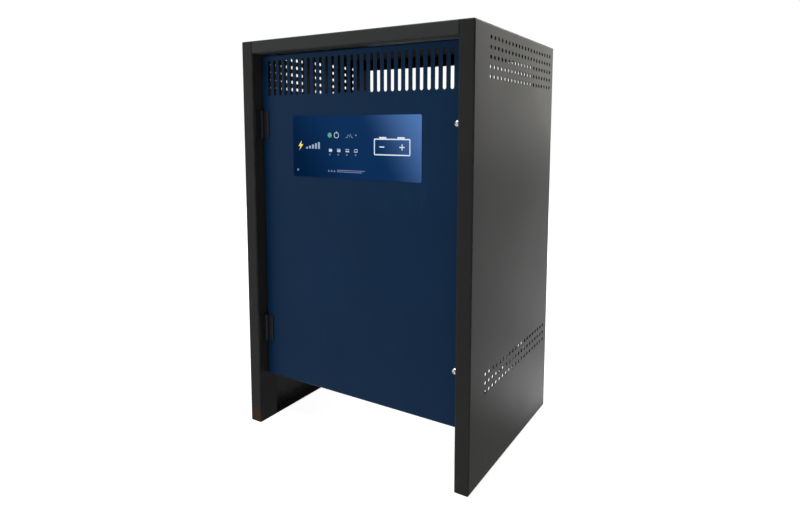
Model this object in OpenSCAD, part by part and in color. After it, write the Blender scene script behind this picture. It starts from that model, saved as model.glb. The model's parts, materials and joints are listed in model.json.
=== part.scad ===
// Traction battery charger: a floor-standing cabinet of folded sheet steel with a hinged front door.
// A three-phase transformer stands on the base tray, with the rectifier and switchgear on a plate above it.
// Millimetres. The origin is on the floor, at the middle of the footprint: +X right, +Y rear, +Z up.

/* [Cabinet] */
// Overall width
cabinet_w = 480; // [460:1:560]
// Overall depth
cabinet_d = 368; // [355:1:440]
// Overall height
cabinet_h = 740; // [735:1:860]
// Thickness of the folded sheet
sheet_t = 1.5; // [1:0.1:2]
// Outside radius of the bends in the sheet
bend_r = 3; // [2.4:0.1:5]
// Width of the flange down each corner post
post_w = 26.5; // [22:0.5:32]
// Height of the flange along the front and rear of the roof
top_flange_h = 23; // [16:0.5:30]
// Depth of the returns folded in behind the flanges
return_d = 45; // [42:0.5:55]
// Depth of the roof's return at the rear
roof_hem_d = 12; // [8:0.5:30]
// Gap at butted and welded seams
seam_gap = 0.2; // [0.1:0.05:0.4]

/* [Side vents] */
// Spacing of the vent holes, both ways
vent_pitch = 15; // [12:0.5:20]
// Radius of a vent hole
vent_r = 3.5; // [2:0.1:4.5]
// Front face of the cabinet to the first column of holes
vent_front = 60; // [40:0.5:80]
// Least distance from the last column of holes to the rear face
vent_rear = 22.5; // [15:0.5:60]
// Rows of holes in the upper group
upper_vent_rows = 5; // [1:1:8]
// Roof to the highest row of holes
upper_vent_drop = 20; // [12:0.5:60]
// Rows of holes in the lower group
lower_vent_rows = 3; // [1:1:6]
// Floor to the lowest row of holes
lower_vent_z = 150; // [125:1:200]

/* [Base tray] */
// Floor to the underside of the tray
base_z = 95; // [80:1:100]
// Thickness of the tray
tray_t = 2; // [1.5:0.1:3]
// Height of the lips folded up round the tray
tray_lip_h = 20; // [12:0.5:24]
// Clearance of the tray to the door's folded edge and to the posts
tray_gap = 2; // [1:0.1:4]
// Width of the air window at each side of the tray
window_w = 50; // [30:1:60]
// Front to rear length of the air windows
window_d = 135; // [80:1:150]
// Side of the cabinet to the air window
window_side = 35; // [30:1:40]
// Rear of the cabinet to the air windows
rear_band = 67.5; // [60:0.5:75]
// Corner radius of the air windows
window_r = 6; // [2:0.5:12]

/* [Door] */
// Depth of the door and the rear cover behind the flanges
door_recess = 22; // [18:0.5:24]
// Gap round the door in its opening
door_gap = 1.5; // [1:0.1:2.5]
// Depth of the edges folded back round the door
door_edge_d = 12; // [8:0.5:15]
// Spacing of the upright slots
slot_pitch = 13.75; // [11:0.05:18]
// Width of a slot
slot_w = 6.5; // [4:0.1:8]
// Height of a slot
slot_h = 65; // [40:1:80]
// Roof to the upper ends of the slots
slot_drop = 35; // [30:0.5:45]
// Edge of the door to the middle of the outer slots
slot_margin = 19.5; // [14:0.5:40]

/* [Hinges] */
// Height of a hinge
hinge_h = 50; // [40:1:70]
// Thickness of the hinge leaves
hinge_leaf_t = 2; // [1.5:0.1:2.5]
// Face of the return to the edge of the door leaf
hinge_leaf_w = 18.5; // [17:0.5:26]
// Radius of the hinge knuckles
knuckle_r = 3.5; // [3:0.1:4]
// Radius of the hinge pins
hinge_pin_r = 1.5; // [1.2:0.1:1.8]
// Radial clearance of the pins in the knuckles
pin_clear = 0.05; // [0.02:0.01:0.09]
// Clearance of the knuckles to the leaves and faces that they turn past
hinge_gap = 0.4; // [0.3:0.05:0.6]
// Bottom of the door to the middle of the lower hinge
hinge_low = 95; // [60:1:140]
// Top of the door to the middle of the upper hinge
hinge_drop = 128.5; // [120:0.5:180]

/* [Door screws] */
// Shank radius of the door screws
door_screw_r = 3; // [2.5:0.1:4]
// Face of the right return to the door screws
door_screw_inset = 11.5; // [10:0.5:14]
// Radial clearance of a door screw in its tab and nut
screw_swing_gap = 0.6; // [0.4:0.05:1]
// Height of the tabs that take the door and rear cover screws
tab_h = 24; // [20:1:32]
// Width of the tabs across the opening
tab_w = 22; // [21:0.5:28]
// Thickness of the tabs
tab_t = 2.5; // [2:0.1:3]
// Gap between the door and its tabs
tab_gap = 1.6; // [1.4:0.1:2.5]

/* [Rear cover] */
// Tray lip to the bottom of the rear cover
rear_gap_low = 25; // [18:1:40]
// Roof flange to the top of the rear cover
rear_gap_high = 62; // [40:1:90]
// Shank radius of the rear cover screws
cover_screw_r = 2.5; // [2:0.1:3]
// End of the rear cover to the middle of its tabs
cover_tab_inset = 40; // [25:1:80]

/* [Control panel] */
// Width of the overlay
overlay_w = 274; // [240:1:300]
// Height of the overlay
overlay_h = 110; // [104:1:130]
// Thickness of the overlay
overlay_t = 0.5; // [0.3:0.1:1]
// Corner radius of the overlay
overlay_r = 3; // [1:0.5:8]
// Middle of the door to the middle of the overlay, to the right
overlay_x = 2; // [0:0.5:10]
// Roof to the top of the overlay
overlay_drop = 138; // [125:1:150]
// Radius of the power lamp
power_lamp_r = 4.4; // [3:0.1:5]
// Middle of the overlay to the power lamp, across
power_lamp_offset = -50.5; // [-60:0.5:-40]
// Top of the overlay to the power lamp
power_lamp_drop = 34.5; // [25:0.5:40]
// Radius of the state lamps
state_lamp_r = 1.8; // [1:0.1:2.5]
// Spacing of the state lamps
state_lamp_pitch = 18.8; // [15:0.1:22]
// Number of state lamps
state_lamp_count = 4; // [2:1:5]
// Top of the overlay to the state lamps
state_lamp_drop = 68.5; // [60:0.5:75]
// Distance that the lamps stand proud of the overlay
lamp_proud = 0.6; // [0.2:0.1:1.5]

/* [Control board] */
// Width of the board
board_w = 210; // [180:1:240]
// Height of the board
board_h = 96; // [90:1:110]
// Thickness of the board
board_t = 1.6; // [1:0.1:2.4]
// Length of the spacers between the door and the board
spacer_h = 14; // [10:0.5:18]
// Outer radius of the hexagonal spacers
spacer_r = 3.6; // [3.2:0.1:4.5]
// Shank radius of the board screws
board_screw_r = 1.5; // [1.2:0.1:1.8]
// Edge of the board to the middle of the spacers
spacer_inset = 6; // [5:0.5:10]

/* [Transformer] */
// Width of the core's legs and yokes
leg_w = 40; // [36:1:42]
// Width of the core's windows
core_window_w = 60; // [55:1:64]
// Height of the core's windows
core_window_h = 150; // [130:1:165]
// Depth of the lamination stack
stack_d = 70; // [60:1:80]
// Middle of the cabinet to the middle of the core, to the rear
core_y = -10; // [-20:1:5]
// Gap between neighbouring coils
coil_gap = 4; // [3:0.5:8]
// Wall of the coil formers
former_t = 2; // [1.5:0.1:3]
// Clearance of the formers on the core
former_clear = 0.3; // [0.2:0.05:0.5]
// Corner radius of the windings
winding_r = 14; // [8:1:18]
// Height of the core clamps
clamp_h = 38; // [30:1:39]
// Width of the clamps' horizontal legs
clamp_foot = 28; // [26:1:34]
// Thickness of the core clamps
clamp_t = 4; // [3:0.5:5]
// Shank radius of the tie bolts and foot bolts
tie_bolt_r = 4; // [3:0.5:5]
// Middle of the transformer to its foot bolts, across
foot_bolt_x = 100; // [80:1:110]
// Height of the rubber pads under the feet
pad_h = 6; // [4:0.5:10]
// Radius of the rubber pads
pad_r = 12; // [10:0.5:13]
// Length of the terminal board
terminal_board_w = 240; // [220:1:260]
// Thickness of the terminal board
terminal_board_t = 8; // [6:0.5:12]
// Spacing of the studs on the rectifier's side
stud_pitch = 40; // [34:1:44]
// End of the terminal board to the first stud
stud_inset = 20; // [12:1:30]
// Radius of the terminal studs
terminal_stud_r = 3; // [2.5:0.1:4]

/* [Rectifier] */
// Top of the transformer to the component plate
plate_lift = 60; // [45:1:70]
// Height of the component plate
plate_h = 230; // [222:1:235]
// Rear of the cabinet to the front of the component plate
plate_setback = 87.5; // [84:0.5:95]
// Depth of the component plate's side flanges
plate_flange = 20; // [15:1:25]
// Middle of the cabinet to the middle of the heat sink
heat_sink_x = -112; // [-120:1:-108]
// Width of the heat sink
heat_sink_w = 180; // [170:1:190]
// Height of the heat sink
heat_sink_h = 200; // [180:1:210]
// Thickness of the heat sink's base
heat_sink_t = 8; // [6:0.5:12]
// Border of the heat sink's base round its fins
heat_sink_border = 14; // [13:0.5:18]
// Number of fins
fin_count = 14; // [8:1:18]
// Thickness of a fin
fin_t = 2.5; // [1.5:0.1:4]
// Length of the fins behind the base
fin_l = 32; // [20:1:38]
// Spacing of the diode modules
module_pitch = 56; // [45:1:58]
// Width of a diode module
module_w = 34; // [28:1:40]
// Height of a diode module
module_h = 94; // [88:1:110]
// Depth of a diode module
module_d = 30; // [24:1:36]
// Spacing of the module terminals
terminal_pitch = 25; // [22:0.5:28]
// Height of the busbars
busbar_h = 18; // [14:1:20]
// Thickness of the busbars
busbar_t = 3; // [2:0.5:5]
// Length of the positive busbar past the last module
busbar_tail = 34; // [30:1:36]
// Length of the negative busbar past the last module
short_tail = 20; // [17:1:22]
// Radius of the bolts through the busbars' tails
lug_bolt_r = 4; // [3:0.1:4.5]
// Shank radius of the terminal screws and plate screws
plate_screw_r = 2.5; // [2:0.1:3]

/* [Switchgear] */
// Middle of the cabinet to the left end of the rail
rail_x = 30; // [26:1:40]
// Length of the rail
rail_l = 180; // [170:1:190]
// Top of the component plate to the middle of the rail
rail_drop = 62; // [55:1:70]
// Width of the rail
rail_w = 35; // [30:0.5:40]
// Width of the rail's channel
rail_hat_w = 27; // [22:0.5:30]
// Depth of the rail
rail_depth = 7.5; // [5:0.5:10]
// Thickness of the rail
rail_t = 1; // [0.8:0.1:1.5]
// Contactor: width, depth, height
contactor_size = [45, 84, 82]; // [30:1:100]
// Fuse holder: width, depth, height
fuse_holder_size = [17.5, 62, 84]; // [12:0.5:100]
// Number of fuse holders
fuse_holder_n = 3; // [1:1:3]
// Terminal block: width, depth, height
block_size = [6.2, 42, 56]; // [5:0.1:70]
// Number of terminal blocks
block_n = 6; // [2:1:7]
// Gap between the devices on the rail
rail_spacing = 6; // [3:0.5:8]
// Clearance of the devices on the rail
rail_clear = 0.2; // [0.1:0.05:0.4]
// Bottom of the component plate to the battery fuse and shunt
fuse_z = 52; // [45:1:58]
// Fuse base: width, height
fuse_base_size = [100, 36]; // [30:1:110]
// Spacing of the fuse's studs
fuse_pitch = 74; // [68:1:78]
// Fuse body: width, radius
fuse_body_size = [48, 13]; // [10:1:55]
// Shunt end block: width, depth, height
shunt_block_size = [20, 16, 30]; // [12:1:36]
// Length of the shunt
shunt_l = 70; // [60:1:72]
// Number of resistance strips in the shunt
shunt_strips = 3; // [1:1:4]

/* [Leads] */
// Radius of the transformer's leads
lead_r = 3.5; // [2.5:0.1:4]
// Radius of the leads on the battery side
dc_lead_r = 5; // [4:0.1:6]
// Thickness of the cable lugs
lug_t = 2; // [1.5:0.1:2.5]
// Hole of a lug to its barrel
lug_palm = 17; // [16:0.5:20]
// Length of a lug's barrel
lug_barrel = 14; // [10:0.5:16]
// Wall of a lug's barrel
lug_wall = 1; // [0.8:0.1:1.5]
// Distance that a lead reaches out in front of the contactor
lead_reach = 26; // [22:1:30]
// Gap between neighbouring leads
lead_gap = 3; // [2:0.5:6]
// Bottom of the component plate to the run of the negative lead
dc_run_drop = 0; // [0:1:10]

/* [Cable glands] */
// Middle of the cabinet to each gland, across
gland_xs = [-140, 96, 146]; // [-180:1:180]
// Radius of the gland thread
gland_r = 12.5; // [10:0.5:14]
// Radius of the bore for the cable
gland_bore_r = 8; // [5:0.5:8.5]
// Height of the gland's hexagon
gland_hex_h = 6; // [4:0.5:9]
// Length of the gland's lower thread
gland_stub_l = 16; // [12:0.5:22]
// Height of the lock nuts
lock_nut_h = 5; // [4:0.5:7]
// Middle of the cabinet to the earth stud, across
earth_x = 0; // [-40:1:40]
// Radius of the earth stud
earth_r = 4; // [3:0.5:5]

/* [Hidden] */

$fn = 48;
cut = 1;
thread_clear = 0.05;
hole_clear = 0.3;
hex_h_ratio = 1.3;
hex_r_ratio = 1.85;
screw_end = 2.4;
phases = 3;

half_w = cabinet_w / 2;
front_y = -cabinet_d / 2;
rear_y = cabinet_d / 2;
wall_x = half_w - sheet_t;
opening_x = half_w - post_w;
opening_top = cabinet_h - top_flange_h;
vent_columns = floor((cabinet_d - vent_front - vent_rear) / vent_pitch) + 1;
tray_top = base_z + tray_t;

door_y = front_y + door_recess;
door_back = door_y + sheet_t;
door_w = 2 * (opening_x - door_gap);
door_h = opening_top - door_gap - base_z;
slot_count = floor((door_w - 2 * slot_margin) / slot_pitch + 0.01) + 1;
hinge_x = -opening_x + knuckle_r + hinge_gap;
hinge_y = door_y - knuckle_r - hinge_gap;
lower_hinge_z = base_z + hinge_low;
upper_hinge_z = base_z + door_h - hinge_drop;
hinge_zs = [lower_hinge_z, upper_hinge_z];
door_screw_x = opening_x - door_screw_inset;
door_tab_y = door_back + tab_gap;
tab_nut_h = 1.6 * door_screw_r;
tab_nut_r = 2.1 * door_screw_r;
retainer_r = 1.6 * door_screw_r;

leaf_inset = 1;
hinge_third = hinge_h / 3;
leaf_screw_z = 0.3 * hinge_h;
hinge_screw_r = 0.9 * hinge_leaf_t;
hinge_screw_l = 3 * hinge_leaf_t + sheet_t;
frame_leaf_y = front_y + bend_r + leaf_inset;
frame_screw_y = (frame_leaf_y + hinge_y - knuckle_r) / 2;
door_leaf_edge = -opening_x + hinge_leaf_w;
door_leaf_screw_x = (door_leaf_edge + hinge_x + knuckle_r) / 2;

cover_y = rear_y - door_recess;
cover_back = cover_y - sheet_t;
cover_z = base_z + tray_lip_h + rear_gap_low;
cover_h = opening_top - rear_gap_high - cover_z;
cover_tab_zs = [cover_z + cover_tab_inset, cover_z + cover_h - cover_tab_inset];

overlay_z = cabinet_h - overlay_drop;
power_lamp_x = overlay_x + power_lamp_offset;
power_lamp_z = overlay_z - power_lamp_drop;
state_lamp_z = overlay_z - state_lamp_drop;
lamp_y = door_y - overlay_t - lamp_proud;
board_y = door_back + spacer_h;
board_z = overlay_z - overlay_h / 2;
board_back = board_y + board_t;
state_lamp_xs = [for (i = [0 : state_lamp_count - 1]) power_lamp_x + i * state_lamp_pitch];
spacer_spots = [for (sx = [-1, 1], sz = [-1, 1])
    [sx * (board_w / 2 - spacer_inset), board_z + sz * (board_h / 2 - spacer_inset)]];
relay_n = 3;
relay_size = [29, 16, 13];
relay_x = -0.42 * board_w;
relay_pitch = 1.2 * relay_size[0];
connector_ways = 5;
connector_size = [60, 12, 10];
connector_z = board_z - board_h / 3;
capacitor_n = 3;
capacitor_size = [9, 22];
capacitor_pitch = 2.3 * capacitor_size[0];

core_z = tray_top + pad_h;
core_w = 3 * leg_w + 2 * core_window_w;
core_h = core_window_h + 2 * leg_w;
core_top = core_z + core_h;
coil_pitch = leg_w + core_window_w;
coil_w = coil_pitch - coil_gap;
coil_wall = (coil_w - leg_w) / 2;
former_z = core_z + leg_w + former_clear;
former_h = core_window_h - 2 * former_clear;
tie_head_h = hex_h_ratio * tie_bolt_r;
tie_head_r = hex_r_ratio * tie_bolt_r;
tie_x = core_w / 2 + tie_head_r + hole_clear;
tie_zs = [core_z + clamp_h / 2, core_top - clamp_h / 2];
tie_reach = stack_d / 2 + clamp_t;
clamp_end = 2;
clamp_l = 2 * (tie_x + tie_head_r + clamp_end);
foot_bolt_y = stack_d / 2 + clamp_t + clamp_foot / 2;
foot_spots = [for (sx = [-1, 1], sy = [-1, 1]) [sx * foot_bolt_x, core_y + sy * foot_bolt_y]];
low_stud_xs = [for (i = [0 : phases - 1]) stud_inset - terminal_board_w / 2 + i * stud_pitch];
stud_y = core_y - foot_bolt_y;
stud_z = core_top + terminal_board_t / 3;
stud_nut_h = 0.8 * terminal_stud_r;
stud_nut_r = 1.9 * terminal_stud_r;
stud_lug_z = core_top + terminal_board_t + stud_nut_h;

plate_y = rear_y - plate_setback;
plate_z = core_top + plate_lift;
plate_w = 2 * (wall_x - seam_gap);
heat_sink_z = plate_z + plate_h / 2;
heat_sink_front = plate_y - heat_sink_t;
module_front = heat_sink_front - module_d;
module_xs = [for (i = [0 : phases - 1]) heat_sink_x + (i - 1) * module_pitch];
busbar_front = module_front - busbar_t;
function tail_bolt_x(tail) = module_xs[2] + (module_w - busbar_h) / 2 + tail;
module_foot_h = 14;
module_step = module_h - 2 * module_foot_h;
module_base_d = 0.4 * module_d;
terminal_zs = [for (i = [-1, 0, 1]) heat_sink_z + i * terminal_pitch];
sink_screw_spots = [for (sx = [-1, 1], sz = [-1, 1]) [heat_sink_x + sx * (heat_sink_w - heat_sink_border) / 2,
    heat_sink_z + sz * (heat_sink_h - heat_sink_border) / 2]];

rail_z = plate_z + plate_h - rail_drop;
rail_end = 9;
rail_screw_spots = [[rail_x + rail_end, rail_z], [rail_x + rail_l - rail_end, rail_z]];
terminal_recess = 10;
contactor_step = [14, 30];
holder_step = [20, 16];
block_step = [15, 14];
contactor_x = rail_x + rail_spacing;
holder_x = contactor_x + contactor_size[0] + rail_spacing;
block_x = holder_x + fuse_holder_n * fuse_holder_size[0] + rail_spacing;
fuse_mid_z = plate_z + fuse_z;
fuse_mid_x = rail_x + fuse_base_size[0] / 2;
fuse_front = module_front;
fuse_base_d = plate_y - fuse_front;
fuse_floor_t = fuse_base_d / 3;
fuse_screw_spots = [for (s = [-1, 1])
    [fuse_mid_x + s * fuse_pitch / 4, fuse_mid_z + s * fuse_base_size[1] / 4]];
shunt_x = rail_x + rail_l - shunt_l;
shunt_front = busbar_front;
shunt_back = shunt_front + shunt_block_size[1];
shunt_strip_t = 1;
shunt_screw_spots = [[shunt_x + shunt_block_size[0] / 2, fuse_mid_z],
    [shunt_x + shunt_l - shunt_block_size[0] / 2, fuse_mid_z]];

pole_pitch = contactor_size[0] / phases;
barrel_r = lead_r + lug_wall;
dc_barrel_r = dc_lead_r + lug_wall;
pole_xs = [for (i = [0 : phases - 1]) contactor_x + (i + 0.5) * pole_pitch];
stud_xs = concat(low_stud_xs, pole_xs);
pole_y = plate_y - rail_t - contactor_size[1] + contactor_step[1];
pole_z = rail_z - (contactor_size[2] - contactor_step[0]) / 2;
lead_stud_z = stud_lug_z + barrel_r;
lead_module_y = module_front - barrel_r;
lead_step = 2 * lead_r + lead_gap;
lead_run_ys = [for (i = [0 : phases - 1]) lead_module_y - 8 * lead_r - (phases - 1 - i) * lead_step];
dc_lead_y = busbar_front - dc_barrel_r;
dc_run_z = plate_z - dc_run_drop;

gland_y = rear_y - rear_band / 2;
gland_hex_r = 1.3 * gland_r;
gland_proud = 2;
gland_top = tray_t + lock_nut_h + gland_proud;
gland_foot = -gland_hex_h - gland_stub_l;
gland_shoulder = 1.5;
stub_r = gland_r - gland_shoulder;
cap_top = -gland_hex_h - hole_clear;
cap_h = 0.6 * gland_stub_l;
cap_flare = 1;
cap_taper = 3;
cap_root_r = gland_r + cap_flare;
cap_nose_r = cap_root_r - cap_taper;

charcoal = "#2b2c2e";
navy = "#14293f";
zinc = "#a7abae";
steel = "#8d9194";
copper = "#b5703c";
black_plastic = "#1d1e20";

// Flat shapes

// Rectangle with four round corners
module soft_rect(x0, x1, y0, y1, r) {
    translate([x0 + r, y0]) square([x1 - x0 - 2 * r, y1 - y0]);
    translate([x0, y0 + r]) square([x1 - x0, y1 - y0 - 2 * r]);
    for (x = [x0 + r, x1 - r], y = [y0 + r, y1 - r]) translate([x, y]) circle(r);
}

// Rectangle with its two lower corners round
module fold_rect(x0, x1, y0, y1, r) {
    translate([x0 + r, y0]) square([x1 - x0 - 2 * r, y1 - y0]);
    translate([x0, y0 + r]) square([x1 - x0, y1 - y0 - r]);
    for (x = [x0 + r, x1 - r]) translate([x, y0 + r]) circle(r);
}

// Upright slot with round ends, centred
module slot_shape(w, h) {
    square([w, h - w], center = true);
    for (s = [-1, 1]) translate([0, s * (h - w) / 2]) circle(w / 2);
}

// Runs and fasteners

// Section in Y and Z, run along X
module along_x(l) rotate([90, 0, 90]) linear_extrude(l, center = true) children();

// Section in X and Z, run along Y
module along_y(l) rotate([90, 0, 0]) linear_extrude(l, center = true) children();

// Cylinder that runs to the rear from the given Y
module rearward(x, y, z, r, l) translate([x, y, z]) rotate([-90, 0, 0]) cylinder(r = r, h = l);

// Nut on +Z with its seat at Z 0
module hex_nut(r, h, across_r) difference() {
    cylinder(r = across_r, h = h, $fn = 6);
    translate([0, 0, -cut]) cylinder(r = r + thread_clear, h = h + 2 * cut);
}

// Bolt with its head on +Z above its seat at Z 0 and its shank below
module hex_bolt(r, l) {
    cylinder(r = hex_r_ratio * r, h = hex_h_ratio * r, $fn = 6);
    translate([0, 0, -l]) cylinder(r = r, h = l);
}

// Button head screw with a hexagon socket, head on +Z above its seat at Z 0 and shank below
module button_screw(r, l) {
    head_r = 1.75 * r;
    head_h = 1.1 * r;
    dome_r = (head_r * head_r + head_h * head_h) / (2 * head_h);
    difference() {
        union() {
            intersection() {
                cylinder(r = head_r, h = head_h);
                translate([0, 0, head_h - dome_r]) sphere(dome_r);
            }
            translate([0, 0, -l]) cylinder(r = r, h = l);
        }
        translate([0, 0, head_h / 2]) cylinder(r = 0.77 * r, h = head_h, $fn = 6);
    }
}

// Cabinet shell

// Outside of a left side panel, or its hollow when inset by the sheet
module side_block(inset) {
    r = bend_r - inset;
    intersection() {
        translate([0, 0, inset]) linear_extrude(cabinet_h - 2 * inset)
            soft_rect(-half_w + inset, -opening_x - inset, front_y + inset, rear_y - inset, r);
        along_y(cabinet_d) soft_rect(-half_w + inset, -opening_x + 2 * bend_r, inset, cabinet_h - inset, r);
        along_x(cabinet_w) soft_rect(front_y + inset, rear_y - inset, -2 * bend_r, cabinet_h - inset, r);
    }
}

// Vent holes through a left side panel, in rows from the given height up
module vent_grid(rows, z) {
    for (i = [0 : vent_columns - 1], j = [0 : rows - 1])
        translate([-half_w - cut, front_y + vent_front + i * vent_pitch, z + j * vent_pitch])
            rotate([0, 90, 0]) cylinder(r = vent_r, h = sheet_t + 2 * cut);
}

// Pan with its four edges folded in, and returns behind the front and rear flanges
module side_panel() difference() {
    side_block(0);
    side_block(sheet_t);
    translate([-opening_x - sheet_t - cut, front_y + return_d, sheet_t])
        cube([sheet_t + 2 * cut, cabinet_d - 2 * return_d, cabinet_h - 2 * sheet_t]);
    vent_grid(upper_vent_rows, cabinet_h - upper_vent_drop - (upper_vent_rows - 1) * vent_pitch);
    vent_grid(lower_vent_rows, lower_vent_z);
}

module left_side_panel() color(charcoal) difference() {
    side_panel();
    for (z = hinge_zs) frame_leaf_screws(z, true);
}

module right_side_panel() color(charcoal) mirror([1, 0, 0]) side_panel();

// Roof with flanges and returns along its front and rear
module top_panel() color(charcoal) along_x(2 * (opening_x - seam_gap)) difference() {
    soft_rect(front_y, rear_y, opening_top, cabinet_h, bend_r);
    soft_rect(front_y + sheet_t, rear_y - sheet_t, opening_top + sheet_t, cabinet_h - sheet_t,
        bend_r - sheet_t);
    translate([front_y + return_d, opening_top - cut]) square([cabinet_d - return_d - roof_hem_d, sheet_t + 2 * cut]);
}

// Outside of a tray with lips up all round, or its hollow when inset
module tray_block(w, y0, y1, inset) {
    r = bend_r - inset;
    top = base_z + tray_lip_h + inset;
    intersection() {
        translate([0, (y0 + y1) / 2, 0]) along_y(y1 - y0)
            fold_rect(-w / 2 + inset, w / 2 - inset, base_z + inset, top, r);
        along_x(w) fold_rect(y0 + inset, y1 - inset, base_z + inset, top, r);
    }
}

// Tray that runs wide between the posts and narrow past them
module tray_body(inset) {
    tray_block(2 * (opening_x - seam_gap), door_y + door_edge_d + tray_gap, rear_y - seam_gap, inset);
    tray_block(2 * (wall_x - seam_gap), front_y + return_d + tray_gap, rear_y - return_d - tray_gap, inset);
}

module base_tray() color(zinc) difference() {
    tray_body(0);
    tray_body(tray_t);
    translate([0, 0, base_z - cut]) linear_extrude(tray_t + 2 * cut) {
        for (s = [-1, 1])
            translate([s * (half_w - window_side - window_w / 2), rear_y - rear_band - window_d / 2])
                soft_rect(-window_w / 2, window_w / 2, -window_d / 2, window_d / 2, window_r);
        for (p = foot_spots) translate(p) circle(tie_bolt_r + hole_clear);
        for (x = gland_xs) translate([x, gland_y]) circle(gland_r + hole_clear);
        translate([earth_x, gland_y]) circle(earth_r + hole_clear);
    }
}

// Door and rear cover

// Sheet that faces the front at Y 0, with its four edges folded to the rear
module folded_block(w, h, d, r) intersection() {
    linear_extrude(h) fold_rect(-w / 2, w / 2, 0, d, r);
    along_x(w) soft_rect(0, d + 2 * r, 0, h, r);
}

module folded_panel(w, h, d) difference() {
    folded_block(w, h, d, bend_r);
    translate([0, sheet_t, sheet_t]) folded_block(w - 2 * sheet_t, h - 2 * sheet_t, d, bend_r - sheet_t);
}

// Angle tab with its screw hole, seated on a return at X 0 and reaching to -X, its front face at Y 0
module screw_tab(hole_r, inset) difference() {
    union() {
        translate([-tab_w, 0, -tab_h / 2]) cube([tab_w, tab_t, tab_h]);
        translate([-tab_t, 0, -tab_h / 2]) cube([tab_t, tab_w - tab_t, tab_h]);
    }
    rearward(-inset, -cut, 0, hole_r, tab_t + 2 * cut);
}

// Cut that lets a folded edge pass a tab, at the right edge of a panel
module tab_notch() translate([-tab_w, sheet_t, -tab_h / 2 - bend_r])
    cube([2 * tab_w, tab_w, tab_h + 2 * bend_r]);

module door_panel() color(navy) difference() {
    translate([0, door_y, base_z]) folded_panel(door_w, door_h, door_edge_d);
    for (i = [0 : slot_count - 1])
        translate([(i - (slot_count - 1) / 2) * slot_pitch, door_y, cabinet_h - slot_drop - slot_h / 2])
            along_y(2 * (sheet_t + cut)) slot_shape(slot_w, slot_h);
    for (z = hinge_zs) {
        rearward(door_screw_x, door_y - cut, z, door_screw_r + hole_clear, sheet_t + 2 * cut);
        translate([opening_x, door_y, z]) tab_notch();
        door_leaf_screws(z, true);
    }
    rearward(power_lamp_x, door_y - cut, power_lamp_z, power_lamp_r + hole_clear, sheet_t + 2 * cut);
    for (x = state_lamp_xs)
        rearward(x, door_y - cut, state_lamp_z, state_lamp_r + hole_clear, sheet_t + 2 * cut);
}

// Tabs welded to the returns: for the door at the front right, for the rear cover at both sides
module screw_tabs() color(charcoal) {
    for (z = hinge_zs)
        translate([opening_x, door_tab_y, z]) screw_tab(door_screw_r + screw_swing_gap, door_screw_inset);
    for (s = [0, 1], z = cover_tab_zs) mirror([s, 0, 0]) translate([opening_x, cover_back, z])
        mirror([0, 1, 0]) screw_tab(cover_screw_r + thread_clear, door_screw_inset);
}

module door_tab_nuts() color(zinc) for (z = hinge_zs)
    translate([door_screw_x, door_tab_y + tab_t, z]) rotate([-90, 0, 0])
        hex_nut(door_screw_r + screw_swing_gap, tab_nut_h, tab_nut_r);

module door_screws() color(steel) for (z = hinge_zs)
    translate([door_screw_x, door_y, z]) rotate([90, 0, 0])
        button_screw(door_screw_r, sheet_t + tab_gap + tab_t + tab_nut_h + screw_end);

// Rings that hold the screws captive in the door
module screw_retainers() color(black_plastic) for (z = hinge_zs) difference() {
    rearward(door_screw_x, door_back, z, retainer_r, sheet_t / 2);
    rearward(door_screw_x, door_back - cut, z, door_screw_r + thread_clear, sheet_t + 2 * cut);
}

module rear_cover() color(charcoal) difference() {
    translate([0, cover_y, cover_z]) mirror([0, 1, 0]) folded_panel(door_w, cover_h, door_edge_d);
    for (s = [0, 1], z = cover_tab_zs) mirror([s, 0, 0]) {
        rearward(door_screw_x, cover_back - cut, z, cover_screw_r + hole_clear, sheet_t + 2 * cut);
        translate([opening_x, cover_y, z]) mirror([0, 1, 0]) tab_notch();
    }
}

module rear_cover_screws() color(zinc) for (s = [0, 1], z = cover_tab_zs) mirror([s, 0, 0])
    translate([door_screw_x, cover_y, z]) rotate([-90, 0, 0])
        button_screw(cover_screw_r, sheet_t + tab_t + screw_end);

// Hinges

// Knuckle ring about the hinge axis, between two heights
module knuckle(z0, z1) translate([hinge_x, hinge_y, z0]) cylinder(r = knuckle_r, h = z1 - z0);

// Screws through the frame leaf of the hinge at z, or the cutters for their holes
module frame_leaf_screws(z, holes = false) for (s = [-1, 1])
    translate([-opening_x + hinge_leaf_t, frame_screw_y, z + s * leaf_screw_z]) rotate([0, 90, 0])
        leaf_screw(holes);

module door_leaf_screws(z, holes = false) for (s = [-1, 1])
    translate([door_leaf_screw_x, door_y - hinge_leaf_t, z + s * leaf_screw_z]) rotate([90, 0, 0])
        leaf_screw(holes);

module leaf_screw(holes) {
    grow = holes ? thread_clear : 0;
    over = holes ? cut : 0;
    translate([0, 0, -hinge_screw_r])
        cylinder(r1 = hinge_screw_r + grow, r2 = 2 * hinge_screw_r + grow, h = hinge_screw_r);
    translate([0, 0, -hinge_screw_l - over])
        cylinder(r = hinge_screw_r + grow, h = hinge_screw_l + over - hinge_screw_r / 2);
}

// Leaf on the left return, with a knuckle at each end
module frame_leaf(z) color(black_plastic) difference() {
    union() {
        translate([-opening_x, frame_leaf_y, z - hinge_h / 2])
            cube([hinge_leaf_t, hinge_y - frame_leaf_y, hinge_h]);
        knuckle(z - hinge_h / 2, z - hinge_third / 2);
        knuckle(z + hinge_third / 2, z + hinge_h / 2);
    }
    translate([hinge_x, hinge_y, z - hinge_h]) cylinder(r = hinge_pin_r + pin_clear, h = 2 * hinge_h);
    translate([hinge_x, hinge_y, z - hinge_third / 2 - hinge_gap])
        cylinder(r = knuckle_r + hinge_gap, h = hinge_third + 2 * hinge_gap);
    frame_leaf_screws(z, true);
}

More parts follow.
